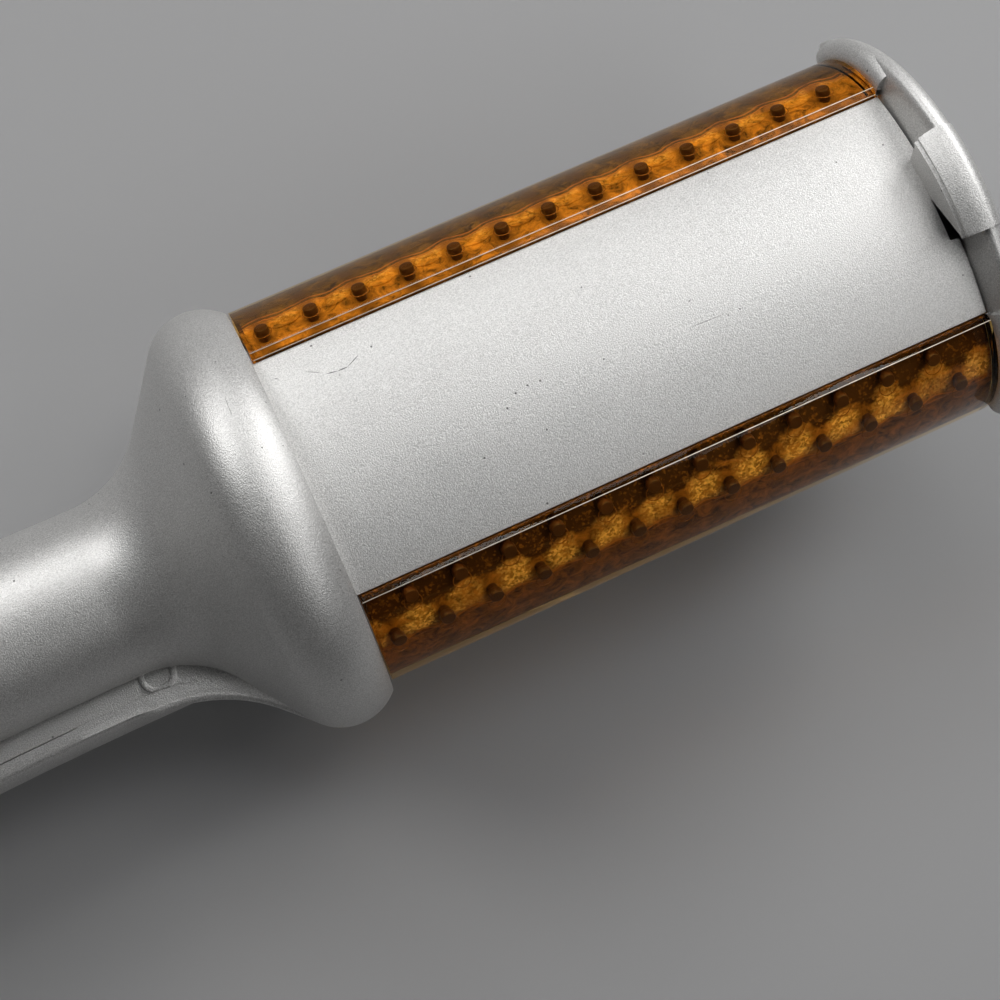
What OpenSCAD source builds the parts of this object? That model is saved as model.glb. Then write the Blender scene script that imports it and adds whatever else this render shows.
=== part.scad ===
// Rotating curling brush, lying closed: a lower arm with a turning heated barrel,
// and an upper arm with two bristle strips beside a curved cover.
// X runs along the barrel to the tip, Z is up, and the barrel's axis lies above X.

/* [Brush half] */
// Length of the cover and the strips, from the bell's face to the tip disc
drum_len = 101; // [90:1:112]
// Radius of the cover's curve
cover_r = 44; // [42:0.5:48]
// Height of the cover's crown above the barrel's axis
cover_top = 26; // [25.5:0.1:26.5]
// Thickness of the cover
cover_t = 1.6; // [1.2:0.1:1.8]
// Radius of the bristle strips' outer face
side_r = 18.8; // [18.5:0.1:19.2]
// Distance of the strips' curve centre from the middle plane
side_y = 11.2; // [11:0.1:11.7]
// Height of the strips' curve centre above the barrel's axis
side_z = 6; // [5.7:0.1:6.2]
// Thickness of the bristle strips
holder_t = 5; // [4.5:0.1:5.5]
// Angle of a strip's lower end round its own curve
holder_low = -12; // [-14:1:-8]
// Angle of a strip's cover end round its own curve
holder_high = 66.5; // [65:0.5:68]

/* [Bristles] */
// Distance between tufts along a row
tuft_pitch = 7.6; // [7.2:0.1:7.6]
// Distance from the bell's face to the first tuft
tuft_start = 3.4; // [3:0.1:5]
// Least distance from the last tuft to the tip disc
tuft_end = 3; // [2.5:0.1:5]
// Angle of the right strip's row next to the cover, round the barrel's axis
row_near = 45; // [43:0.5:46]
// Angle of the left strip's row next to the cover, round the barrel's axis
row_near_left = 41; // [40:0.5:46]
// Angle of the outer row, round the barrel's axis
row_far = 33; // [31:0.5:35]
// Radius of a tuft's root
tuft_r = 1.1; // [0.9:0.05:1.2]
// Bristles in one tuft
strands = 8; // [6:1:9]

/* [Bell and rims] */
// Radius of the bell's rim
rim_r = 33.8; // [33:0.1:35]
// Radius of the rim's rounded edge
rim_round = 8.4; // [7.5:0.1:9]
// Depth of the rim's crest behind its front face
rim_depth = 6; // [5.5:0.1:6.5]
// Slope of the upper bell's back
flank = 54.5; // [50:0.5:58]
// Radius of the cove between the upper bell and the handle
cove_r = 16; // [13:0.5:18]
// Radius of the upper handle behind the bell
neck_r = 13.6; // [13.2:0.1:14.4]
// Slope of the lower bell's back
low_flank = 45; // [42:0.5:50]
// Radius of the cove behind the lower bell
low_cove_r = 24; // [20:0.5:26]
// Radius of the lower bell where it meets the handle
low_neck_r = 18.6; // [18:0.1:18.7]
// Radius of the tip disc
tip_rim_r = 34; // [33.5:0.1:35]
// Height of the tip disc's low ends above the barrel's axis
tip_low = 8; // [4:0.5:10]
// Half width of the lug that hooks over the cover's end
lug_w = 8.3; // [7:0.1:9]

/* [Handle] */
// Wall of the casings
wall = 2; // [1.8:0.1:2.2]
// Largest radius of the upper handle
grip_top_r = 15.6; // [15:0.1:16]
// Drop of the lower handle's axis below the barrel's axis
drop = 8; // [7.8:0.1:8.4]
// Radius of the lower handle near the bell
low_front_r = 19.9; // [19.8:0.1:20.4]
// Radius of the lower handle at its heel
low_heel_r = 23.8; // [23.7:0.1:24.2]
// Distance from the bell's face back to the end of the handle's trimmed side
side_end = 75; // [72:1:78]
// Distance from the bell's face back to where that side is full again
side_full = 128; // [125:1:130]
// Gap between the two arms where they part
split_gap = 1.4; // [1.2:0.1:1.5]
// Distance from the bell's face back to the hinge pin
hinge_back = 172; // [170:1:176]
// Height of the hinge pin below the barrel's axis
hinge_drop = 3; // [2.5:0.1:3.2]
// Distance from the bell's face back to the lower arm's end
tail_back = 196; // [195:1:202]
// Height of the barrel's axis above the table
rest_h = 31.6; // [31.4:0.1:31.7]

/* [Barrel] */
// Radius of the heated barrel
barrel_r = 16; // [15:0.1:16.2]
// Wall of the barrel
barrel_wall = 1.2; // [1:0.1:1.6]
// Radius of the barrel's rear journal
journal_r = 7; // [6.5:0.1:7.5]
// Radius of the fixed spindle
spindle_r = 4; // [3.8:0.1:4.2]
// Radius of the heater's ceramic core
core_r = 9; // [8:0.1:9.5]

/* [Drive] */
// Gear module
gear_m = 0.8; // [0.8:0.05:0.8]
// Teeth on the barrel's gear
drum_teeth = 28; // [28:1:28]
// Teeth on the motor's pinion
pinion_teeth = 12; // [12:1:12]
// Radius of the geared motor
motor_r = 9.5; // [8.5:0.1:9.6]
// Length of the geared motor
motor_len = 38; // [32:1:40]

/* [Controls] */
// Travel of the heat slider
slider_travel = 8; // [6:0.5:8]
// Radius of the power button
button_r = 3.9; // [3.4:0.1:4.1]
// Travel of the power button
button_travel = 0.8; // [0.5:0.1:0.8]
// Travel of the lock slider
lock_travel = 4; // [3:0.5:4]
// Radius of the cord bore in the swivel
cord_r = 3.6; // [3:0.1:4]

/* [Hidden] */

$fn = 72;

silver = [0.73, 0.74, 0.75];
amber = [0.80, 0.42, 0.06, 0.75];
dark = [0.12, 0.12, 0.13];
steel = [0.62, 0.63, 0.65];
white = [0.85, 0.85, 0.82];
green = [0.10, 0.38, 0.20];
brass = [0.72, 0.58, 0.30];

// Clearances
fit = 0.15;
slack = 0.3;
run = 0.05;
press = 0.02;
frame_gap = 0.9;
far = 60;

// Places along the barrel, from the bell's front face
tip_x = drum_len;
tip_front = drum_len + 4.6;
cool_x0 = drum_len - 0.2;
cool_x1 = drum_len + 7.5;
barrel_x0 = 1.2;
barrel_x1 = drum_len - 1.2;
socket_wall = 2.2;
bracket_x = [-9.5, -5.5];
gear_x = [-18, -12];
plate_x = [-24, -21];
journal_end = -20;
spindle_x = [-27, drum_len + 3];
hinge_x = -hinge_back;
hinge_z = -hinge_drop;
tail_x = -tail_back;
swivel_end = tail_x - 10;
top_end = hinge_x + 8;
tail_front = hinge_x - 12;
deck_x = [tail_front + 0.2, -26];
split_z = -split_gap;
deck_t = 1.8;
deck_low = split_z - deck_t;
cover_z = cover_top - cover_r;
frame_out = cover_r - cover_t - 1.4;
frame_t = 2.2;
frame_top = cover_z + frame_out;
frame_bottom = frame_top - frame_t;
gear_gap = gear_m * (drum_teeth + pinion_teeth) / 2;
swing_peak = -115;
heel_x = -150;
arc_steps = 12;
wave_steps = 12;
tuft_count = floor((drum_len - tuft_start - tuft_end) / tuft_pitch) + 1;

// The part stands on the table with its box centred over the origin
mid_x = (cool_x1 + swivel_end) / 2;
module place() translate([-mid_x, 0, rest_h]) children();

// ---- Helpers
module span(x, y, z) translate([x[0], y[0], z[0]]) cube([x[1] - x[0], y[1] - y[0], z[1] - z[0]]);
module rod_x(x, r, y = 0, z = 0) translate([x[0], y, z]) rotate([0, 90, 0]) cylinder(h = x[1] - x[0], r = r);
module rod_y(y, r, x = 0, z = 0) translate([x, y[1], z]) rotate([90, 0, 0]) cylinder(h = y[1] - y[0], r = r);
module rod_z(z, r, x = 0, y = 0) translate([x, y, z[0]]) cylinder(h = z[1] - z[0], r = r);
// A flat outline in Y and Z, drawn out along X
module along_x(x) translate([x[0], 0, 0]) rotate([90, 0, 90]) linear_extrude(x[1] - x[0]) children();
// A profile of [x, radius] points, turned about X
module turned(points, z = 0)
    translate([0, 0, z]) rotate([0, 90, 0]) rotate_extrude() polygon([for (p = points) [p[1], p[0]]]);
module both_sides() {
    children();
    mirror([0, 1, 0]) children();
}

// Profile of a bell from its front face to the neck, drawn in by t
function bell(neck, slope, cove, t) = let (
    rr = rim_round - t,
    cz = rim_r - rim_round,
    start = acos((rim_depth - t) / rr),
    tx = -rim_depth - rr * sin(slope),
    tr = cz + rr * cos(slope),
    c = cove + t,
    xc = tx - c * sin(slope) + (neck - t + c * (1 - cos(slope)) - tr) / tan(slope)
) concat(
    [for (i = [0:arc_steps]) let (p = start + (90 + slope - start) * i / arc_steps)
        [-rim_depth + rr * cos(p), cz + rr * sin(p)]],
    [for (i = [0:arc_steps]) let (b = slope * (1 - i / arc_steps))
        [xc + c * sin(b), neck - t + c * (1 - cos(b))]]
);
function last(list) = list[len(list) - 1];
// A smooth rise from a to b as u goes from 0 to 1
function rise(a, b, u) = a + (b - a) * (1 - cos(180 * u)) / 2;

function upper_points(t) = let (
    front = bell(neck_r, flank, cove_r, t),
    nx = last(front)[0],
    round_r = 4
) concat(
    [[-t, 0]],
    front,
    [for (i = [1:wave_steps]) let (u = i / wave_steps)
        [nx + (swing_peak - nx) * u, rise(neck_r, grip_top_r, u) - t]],
    [for (i = [0:4]) let (b = 90 * i / 4)
        [top_end + round_r - (round_r - t) * sin(b), grip_top_r - round_r + (round_r - t) * cos(b)]],
    [[top_end + t, 0]]
);

function low_bell_points(t) = let (front = bell(low_neck_r, low_flank, low_cove_r, t))
    concat([[-t, 0]], front, [[last(front)[0], 0]]);
low_neck_x = last(bell(low_neck_r, low_flank, low_cove_r, 0))[0];
tail_round = 28;
function low_grip_points(t) = concat(
    [[-14, 0], [-14, low_front_r - t]],
    [for (i = [0:wave_steps]) let (u = i / wave_steps)
        [low_neck_x + (heel_x - low_neck_x) * u, rise(low_front_r, low_heel_r, u) - t]],
    [for (i = [0:wave_steps]) let (b = 68 * i / wave_steps)
        [tail_x + 26 - tail_round * sin(b) * (26 / (tail_round * sin(68))) + (i == wave_steps ? t : 0),
         low_heel_r * cos(b) - t]],
    [[tail_x + t, 0]]
);

module upper_solid(t) intersection() {
    turned(upper_points(t));
    span([-2 * tail_back, far], [-far, far], [0, far]);
}

// Outline from above that keeps the left side of the lower handle under the upper one as far as side_end
side_lap = 0.2;
side_out = low_heel_r + wall;
function side_points(t) = let (front = bell(neck_r, flank, cove_r, t - side_lap)) concat(
    [[1, -far], [1, front[0][1]]],
    front,
    [for (i = [0:wave_steps]) let (u = i / wave_steps)
        [-side_end - (side_full - side_end) * u, rise(neck_r + side_lap, side_out, u) - t]],
    [[-2 * tail_back, side_out - t], [-2 * tail_back, -far]]
);

module lower_solid(t, top = split_z) intersection() {
    union() {
        turned(low_bell_points(t));
        turned(low_grip_points(t), -drop);
    }
    span([-2 * tail_back, far], [-far, far], [-rest_h + t, top]);
    translate([0, 0, -far]) linear_extrude(2 * far) polygon(side_points(t));
}

// ---- Lower arm
board_x = [-142, -86];
board_y = [-9, 12];
board_top = -7.2;
board_t = 1.6;
post_x = [board_x[0] + 4, board_x[1] - 4];
post_y = [board_y[0] + 3, board_y[1] - 3];
panel_x = [-127, -81];
panel_z = [-14, -3.6];
panel_y = 20.8;
panel_t = 2;
panel_mid = (panel_z[0] + panel_z[1]) / 2;
side_board_y = 14.6;
side_board_z = [-17, -4.2];
deck_screws_at = [[-132, 16.5], [-132, -16.5], [-31.2, -14.2]];
cup_r = 2.9;
cup_low = -7;
ear_y = [8.4, 13.4];
ear_r = 6;
pin_r = 2;
gland_z = -10;
gland_r = 6;
post_r = 2.2;
lock_x = hinge_x + 14;
keeper_x = [lock_x + 8.4, lock_x + 10];

module lower_posts() {
    for (x = post_x, y = post_y)
        rod_z([-rest_h, board_top - board_t], post_r, x, y);
    for (p = deck_screws_at)
        rod_z([-rest_h, cup_low], cup_r, p[0], p[1]);
    for (x = [panel_x[0] + 2, panel_x[1] - 8])
        span([x, x + 3], [-side_board_y - 0.8, -side_board_y + 2.4], [-rest_h, side_board_z[0]]);
    both_sides() span([hinge_x - ear_r, hinge_x + ear_r], ear_y, [-rest_h, split_z]);
}

module lower_casing() color(silver) place() difference() {
    union() {
        difference() {
            lower_solid(0);
            lower_solid(wall, far);
        }
        intersection() {
            lower_solid(wall / 2);
            lower_posts();
        }
        both_sides() rod_y(ear_y, ear_r, hinge_x, hinge_z);
    }
    rod_x([-wall - 1, 1], journal_r + 2);
    rod_y([-far, far], pin_r + press, hinge_x, hinge_z);
    span(panel_x, [-far, -side_board_y - 2.4], panel_z);
    rod_x([tail_x - 1, tail_x + wall + 3], gland_r, 0, gland_z);
    for (p = deck_screws_at)
        rod_z([-16, cup_low + 1], 0.95, p[0], p[1]);
    for (x = post_x, y = post_y)
        rod_z([-16, 0], 0.95, x, y);
}

module handle_deck() color(silver) place() difference() {
    union() {
        intersection() {
            lower_solid(wall + fit);
            span(deck_x, [-far, far], [deck_low, split_z]);
        }
        intersection() {
            lower_solid(wall + fit, split_z + 0.3);
            for (p = deck_screws_at)
                rod_z([cup_low + press, far], cup_r, p[0], p[1]);
        }
    }
    for (p = deck_screws_at) {
        rod_z([cup_low + 1.2, 1], 2, p[0], p[1]);
        rod_z([cup_low - 1, 1], 1.1, p[0], p[1]);
    }
    span([spindle_x[0] - 9, 0], [-spindle_r - 3, spindle_r + 3], [-far, far]);
    span([deck_x[0] - 1, hinge_x + 9], [-15, 15], [-far, far]);
    rod_z([-far, far], 1.5 + slack, close_x, 0);
    span([keeper_x[0] - 0.8, keeper_x[1] + 1.2], [8.2, 11.6], [-far, far]);
    span([lock_x - 0.4, lock_x + lock_travel + 4.4], [17, 19.6], [-far, far]);
}

module tail_cap() color(silver) place() difference() {
    intersection() {
        turned(low_grip_points(0), -drop);
        span([2 * tail_x, tail_front], [-far, far], [split_z + press, far]);
    }
    intersection() {
        turned(low_grip_points(wall), -drop);
        span([2 * tail_x, tail_front - wall], [-far, far], [-far, far]);
    }
}

module bearing_bracket() color(dark) place() difference() {
    union() {
        intersection() {
            lower_solid(wall + fit, split_z - 2);
            span(bracket_x, [-far, far], [-far, 0]);
        }
        rod_x(bracket_x, 12);
    }
    rod_x([-20, 5], journal_r + 2 + press);
}

module rear_bush() color(brass) place() difference() {
    union() {
        rod_x(bracket_x, journal_r + 2);
        rod_x([bracket_x[1], bracket_x[1] + 0.8], journal_r + 3.5);
    }
    rod_x([-20, 5], journal_r + run);
}

module motor_plate() color(dark) place() difference() {
    union() {
        intersection() {
            lower_solid(wall + fit, split_z - 2);
            span(plate_x, [-far, far], [-far, 0]);
        }
        rod_x([spindle_x[0], plate_x[1]], spindle_r + socket_wall);
    }
    rod_x([-60, 5], spindle_r + press);
    rod_x([-60, 5], 3.5, 0, -gear_gap);
}

module gear_motor() color(steel) place() difference() {
    union() {
        rod_x([plate_x[0] - 12, plate_x[0]], motor_r, 0, -gear_gap);
        rod_x([plate_x[0] - motor_len, plate_x[0] - 12], motor_r - 0.4, 0, -gear_gap);
        rod_x([plate_x[0] - motor_len - 2, plate_x[0] - motor_len], 3, 0, -gear_gap);
    }
    rod_x([plate_x[0] - 7, 0], 1.5 + run, 0, -gear_gap);
}

cradle_x = plate_x[0] - motor_len + 6;
cradle_len = 8;
module motor_cradle() color(dark) place() difference() {
    intersection() {
        lower_solid(wall + fit);
        span([cradle_x, cradle_x + cradle_len], [-far, far], [-far, -gear_gap + 2]);
    }
    rod_x([cradle_x - 1, cradle_x + cradle_len + 1], motor_r - 0.4 + press, 0, -gear_gap);
}

module spindle() color(steel) place() difference() {
    rod_x(spindle_x, spindle_r);
    rod_x([spindle_x[0] - 1, drum_len - 11], 2.4);
    rod_x([drum_len - 4, spindle_x[1] + 1], 1.35 + press);
}

core_x = [14, drum_len - 13];
module heater_core() color(white) place() along_x(core_x) difference() {
    circle(core_r);
    circle(spindle_r + run);
    for (a = [0:45:315])
        rotate(a) translate([core_r - 1.6, 0]) circle(0.9);
}

module heater_winding() color(brass) place() along_x([core_x[0] + 3, core_x[1] - 3]) difference() {
    circle(core_r + 0.7);
    circle(core_r + run);
}

disc_x = core_x[1] - 22;
disc_w = 6;
disc_t = 2.85;
module thermostat() color(steel) place() union() {
    base = core_r + 0.75;
    span([disc_x - disc_w, disc_x + disc_w], [-disc_w / 2, disc_w / 2], [base, base + disc_t]);
    rod_z([base + disc_t, base + disc_t + 0.8], 2.2, disc_x, 0);
}

module front_bush() color(brass) place() along_x([barrel_x1 - 5.5, barrel_x1]) difference() {
    circle(journal_r);
    circle(spindle_r + run);
}

cool_r = barrel_r + 0.6;
module tip_cap() color(dark) place() difference() {
    turned(concat(
        [[cool_x0, 0], [cool_x0, cool_r - 0.4], [cool_x0 + 0.4, cool_r]],
        [for (i = [0:6]) let (b = 90 * i / 6)
            [cool_x0 + 3.2 + (cool_x1 - cool_x0 - 3.2) * sin(b), cool_r - 6 + 6 * cos(b)]],
        [[cool_x1, 0]]
    ));
    rod_x([cool_x0 - 1, spindle_x[1] + 0.2], spindle_r + press);
    rod_x([cool_x0, cool_x1 + 1], 1.35 + fit);
    rod_x([cool_x1 - 1.9, cool_x1 + 1], 3.1);
}

module tip_screw() color(steel) place() difference() {
    union() {
        rod_x([drum_len - 3.5, cool_x1 - 1.9], 1.35);
        rod_x([cool_x1 - 1.9, cool_x1 - 0.2], 2.9);
    }
    for (a = [0, 90])
        translate([cool_x1, 0, 0]) rotate([a, 0, 0]) cube([1.8, 3.6, 0.7], center = true);
}

module circuit_board() color(green) place() difference() {
    span(board_x, board_y, [board_top - board_t, board_top]);
    for (x = post_x, y = post_y)
        rod_z([-20, 0], 1.2, x, y);
}

can_r = [4, 3];
can_h = [9, 8];
can_x = [board_x[1] - 10, board_x[1] - 20];
can_y = 5;
coil_box = [14, 13, 8];
relay_box = [6, 6, 6];
chip = [3, 1.5, 1];
module board_parts() color(dark) place() {
    below = board_top - board_t;
    for (i = [0, 1])
        rod_z([below - can_h[i], below], can_r[i], can_x[i], can_y);
    translate([can_x[1] - 20, board_y[0] + 4, below - coil_box[2]]) cube(coil_box);
    translate([can_x[1] - 30, board_y[0] + 5, below - relay_box[2]]) cube(relay_box);
    for (k = [0:4])
        translate([can_x[1] - 16 + 2 * chip[0] * k, board_y[0] + 6, board_top]) cube(chip);
}

side_x = [panel_x[0], panel_x[1] - 2];
module switch_board() color(green) place()
    span(side_x, [-side_board_y, -side_board_y + 1.6], side_board_z);

slot_x = panel_x[0] + 4;
stem_w = 5;
module heat_switch() color(dark) place() union() {
    span([slot_x + 1, slot_x + 13], [-side_board_y - 2.6, -side_board_y], [panel_mid - 2.2, panel_mid + 2.2]);
    span([slot_x + 3, slot_x + 5], [-side_board_y - 2.8, -side_board_y - 2.6], [panel_mid - 1, panel_mid + 1]);
}

button_x = panel_x[1] - 8;
module power_switch() color(dark) place() union() {
    span([button_x - 3, button_x + 3], [-side_board_y - 1.8, -side_board_y], [panel_mid - 3, panel_mid + 3]);
    rod_y([-side_board_y - 2.4, -side_board_y - 1.8], 1.5, button_x, panel_mid);
}

flange_y = panel_y - panel_t - slack;
module button_spring() color(steel) place() difference() {
    rod_y([-flange_y + 0.6, -side_board_y - 1.8], 2.8, button_x, panel_mid);
    rod_y([-far, far], 2, button_x, panel_mid);
}

pipe_x = [panel_x[0] + 25, panel_x[0] + 27.5, panel_x[0] + 30];
module control_plate() color(dark) place() difference() {
    span([panel_x[0] + 0.2, panel_x[1] - 0.2], [-panel_y, -panel_y + panel_t], [panel_z[0] + 0.2, panel_z[1] - 0.2]);
    span([slot_x, slot_x + stem_w + slider_travel + 0.6], [-far, 0], [panel_mid - 2, panel_mid + 2]);
    rod_y([-far, 0], button_r + 0.2, button_x, panel_mid);
    for (x = pipe_x)
        rod_y([-far, 0], 0.95, x, panel_mid);
}

module light_pipes() color(green) place()
    for (x = pipe_x)
        rod_y([-panel_y - 0.1, -side_board_y - 0.1], 0.9, x, panel_mid);

close_x = -76;
module close_switch() color(dark) place() difference() {
    span([close_x - 6, close_x + 6], [-3.2, 3.2], [deck_low - 6.5, deck_low - 0.1]);
    rod_z([deck_low - 3, 0], 1.5 + fit, close_x, 0);
}

plunger_travel = 1.2;
module switch_plunger() color(white) place() rod_z([deck_low - 1.4, -0.3], 1.5, close_x, 0);

module hinge_pin() color(steel) place() union() {
    rod_y([-ear_y[1] - 0.2, ear_y[1] + 0.2], pin_r, hinge_x, hinge_z);
    both_sides() rod_y([ear_y[1] + 0.2, ear_y[1] + 1.2], 3.2, hinge_x, hinge_z);
}

module opening_spring() color(steel) place() difference() {
    rod_y([-3.9, 3.9], 4.2, hinge_x, hinge_z);
    rod_y([-far, far], pin_r + 0.1, hinge_x, hinge_z);
}

// A flat lead that follows points in X and Z, with its width across Y
module lead(points, t, y) translate([0, y[1], 0]) rotate([90, 0, 0]) linear_extrude(y[1] - y[0])
    for (i = [0:len(points) - 2]) {
        d = points[i + 1] - points[i];
        translate(points[i]) rotate(atan2(d[1], d[0])) translate([-t / 2, -t / 2]) square([norm(d) + t, t]);
    }
lead_y = [3.6, 5.2];
module wiring() color("firebrick") place() {
    span([spindle_x[0] - 3, spindle_x[0] - 1], [-1, lead_y[1]], [-0.8, 0.8]);
    span([spindle_x[0] - 1, spindle_x[0] + 3], [-1, 1], [-0.8, 0.8]);
    lead([[spindle_x[0] - 2, 0], [spindle_x[0] - 4, -4.6], [board_x[1] + 2, -4.6],
        [board_x[1] - 4, board_top + 0.8]], 1.2, lead_y);
    lead([[tail_x + 9, gland_z], [hinge_x - 6, -14.5], [hinge_x + 12, -14.5],
        [board_x[0] - 4, board_top - board_t], [board_x[0] - 1.9, board_top - board_t]], 3, [-1.5, 1.5]);
}

module deck_screws() color(steel) place()
    for (p = deck_screws_at) {
        rod_z([cup_low + 1.2, cup_low + 2.6], 1.85, p[0], p[1]);
        rod_z([-15, cup_low + 1.2], 0.9, p[0], p[1]);
    }

// ---- Barrel
module barrel_tube() color([0.20, 0.20, 0.22]) place() along_x([barrel_x0, barrel_x1]) difference() {
    circle(barrel_r);
    circle(barrel_r - barrel_wall);
}

plug_r = barrel_r - barrel_wall - press;
module barrel_hub() color(steel) place() difference() {
    union() {
        rod_x([barrel_x0, barrel_x0 + 5], plug_r);
        rod_x([journal_end, barrel_x0], journal_r);
    }
    rod_x([-60, 20], spindle_r + slack);
}

module barrel_front() color(steel) place() along_x([barrel_x1 - 5, barrel_x1]) difference() {
    circle(plug_r);
    circle(journal_r + run);
}

// One flank of an involute tooth, from the base circle to the tip
pressure = 25;
function involute(rb, r) = let (a = acos(rb / r)) tan(a) * 180 / PI - a;
function tooth(teeth, backlash) = let (
    rp = gear_m * teeth / 2,
    rb = rp * cos(pressure),
    ra = rp + gear_m,
    rf = rp - 1.25 * gear_m,
    low = max(rb, rf),
    half = 90 / teeth - backlash * 90 / (PI * rp) + involute(rb, rp),
    flank_points = [for (i = [0:4]) let (r = low + (ra - low) * i / 4) [r, half - involute(rb, r)]]
) concat(
    [[rf, -half]],
    [for (p = flank_points) [p[0], -p[1]]],
    [for (i = [4:-1:0]) flank_points[i]],
    [[rf, half]]
);
module gear(teeth, backlash, turn)
    let (one = tooth(teeth, backlash))
    polygon([for (k = [0:teeth - 1], p = one) let (a = p[1] + 360 * k / teeth + turn)
        [p[0] * cos(a), p[0] * sin(a)]]);

gear_play = 0.06;
module drum_gear() color(white) place() along_x(gear_x) difference() {
    gear(drum_teeth, gear_play, -90);
    circle(journal_r + press);
}

module drive_pinion() color(brass) place() along_x(gear_x) translate([0, -gear_gap]) difference() {
    gear(pinion_teeth, gear_play, 90 + 180 / pinion_teeth);
    circle(1.5 + press);
}

module motor_shaft() color(steel) place() rod_x([plate_x[0] - 6.5, gear_x[1] + 0.5], 1.5, 0, -gear_gap);

// ---- Upper arm
tongue_x = -14;
tongue_y = 8;
frame_screw_x = -8;
frame_screw_y = 5;
liner_t = 2;
liner_screw_x = [-50, -100, -142];
bracket_screw = [hinge_x + 18, 4.5];
bracket_z = [liner_t + 0.1, liner_t + 3.1];

module upper_posts() {
    both_sides() rod_z([frame_top + press, far], 2.4, frame_screw_x, frame_screw_y);
    for (x = liner_screw_x)
        rod_z([liner_t + press, far], 2.6, x, 0);
    both_sides() rod_z([bracket_z[1] + press, far], 2.4, bracket_screw[0], bracket_screw[1]);
}

module upper_casing() color(silver) place() difference() {
    union() {
        difference() {
            upper_solid(0);
            turned(upper_points(wall));
        }
        intersection() {
            upper_solid(wall / 2);
            upper_posts();
        }
    }
    rod_x([-wall - 1, 1], journal_r + 2);
    span([-wall - 1, 1], [-tongue_y - slack, tongue_y + slack], [frame_bottom - slack, frame_top + slack]);
    span([top_end - 1, top_end + wall + 1], [-8.3, 8.3], [-1, bracket_z[1] + slack]);
    both_sides() rod_z([frame_top - 1, frame_top + 5], 0.95, frame_screw_x, frame_screw_y);
    for (x = liner_screw_x)
        rod_z([0, 8], 0.95, x, 0);
    both_sides() rod_z([0, 9.5], 0.95, bracket_screw[0], bracket_screw[1]);
}

liner_w = 11;
liner_x = [top_end + wall + 0.4, -34];
module upper_liner() color(dark) place() difference() {
    union() {
        span(liner_x, [-liner_w, liner_w], [0, liner_t]);
        span(keeper_x, [8.6, 11], [-8, 0]);
    }
    for (x = liner_screw_x) {
        rod_z([-1, far], 1.1, x, 0);
        rod_z([-1, 1.2], 2.2, x, 0);
    }
    span([keeper_x[0] - 1, keeper_x[1] + 1], [9.2, 10.7], [-7.1, -4.5]);
}

module liner_screws() color(steel) place() {
    for (x = liner_screw_x) {
        rod_z([0.1, 1.2], 2, x, 0);
        rod_z([1.2, 7.5], 0.9, x, 0);
    }
    both_sides() {
        rod_z([bracket_z[0] + 0.05, bracket_z[0] + 1.2], 1.8, bracket_screw[0], bracket_screw[1]);
        rod_z([bracket_z[0] + 1.2, 9], 0.9, bracket_screw[0], bracket_screw[1]);
    }
}

module hinge_bracket() color(steel) place() difference() {
    union() {
        rod_y([-8, 8], 5.5, hinge_x, hinge_z);
        span([hinge_x - 2, hinge_x + 5.4], [-8, 8], [hinge_z, bracket_z[1]]);
        span([hinge_x, hinge_x + 23], [-8, 8], bracket_z);
    }
    rod_y([-far, far], pin_r + run, hinge_x, hinge_z);
    span([hinge_x - 7, hinge_x + 7], [-4.2, 4.2], [-far, bracket_z[0] - 0.6]);
    both_sides() {
        rod_z([0, far], 1.1, bracket_screw[0], bracket_screw[1]);
        rod_z([0, bracket_z[0] + 1.2], 2, bracket_screw[0], bracket_screw[1]);
    }
}

// The wedge of space between the two strips' cover ends
module between_strips(gap) {
    q = [side_y - gap * sin(holder_high), side_z + gap * cos(holder_high)];
    e = q + 40 * [cos(holder_high), sin(holder_high)];
    polygon([q, e, [-e[0], e[1]], [-q[0], q[1]]]);
}

module arch(outer, t, gap) intersection() {
    translate([0, cover_z]) difference() {
        circle(outer, $fn = 180);
        circle(outer - t, $fn = 180);
    }
    between_strips(gap);
}

screw_in = 20;
screw_end = 5;
cover_screw_x = [screw_in, (screw_in + drum_len - screw_end) / 2, drum_len - screw_end];
module brush_frame() color(dark) place() difference() {
    union() {
        along_x([slack, drum_len - 0.2]) arch(frame_out, frame_t, frame_gap);
        span([tongue_x, slack + 1], [-tongue_y, tongue_y], [frame_bottom, frame_top - 0.8]);
        both_sides() rod_z([frame_top - 1, frame_top], 2.4, frame_screw_x, frame_screw_y);
    }
    for (x = cover_screw_x)
        rod_z([0, far], 1.1, x, 0);
    both_sides() rod_z([0, far], 1.1, frame_screw_x, frame_screw_y);
}

module frame_screws() color(steel) place() both_sides() {
    rod_z([frame_bottom - 1.3, frame_bottom], 1.9, frame_screw_x, frame_screw_y);
    rod_z([frame_bottom, frame_top + 4.5], 0.9, frame_screw_x, frame_screw_y);
}

notch_x = drum_len - 1.7;
cover_low = cover_top - cover_t;
module brush_cover() color(silver) place() difference() {
    union() {
        along_x([slack, drum_len - 0.1]) arch(cover_r, cover_t, fit);
        for (x = cover_screw_x)
            rod_z([frame_top + press, cover_low + 0.4], 2.6, x, 0);
    }
    span([notch_x, drum_len + 1], [-lug_w - slack, lug_w + slack], [cover_top - 6, far]);
    for (x = cover_screw_x)
        rod_z([0, cover_low + 0.3], 0.95, x, 0);
}

plate_under = 1.8;
module cover_screws() color(steel) place()
    for (i = [0:2]) {
        head = frame_bottom - (i == 2 ? plate_under + press : 0) - 0.08;
        rod_z([head - 1.3, head], 1.9, cover_screw_x[i], 0);
        rod_z([head, cover_low + 0.2], 0.9, cover_screw_x[i], 0);
    }

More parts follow.
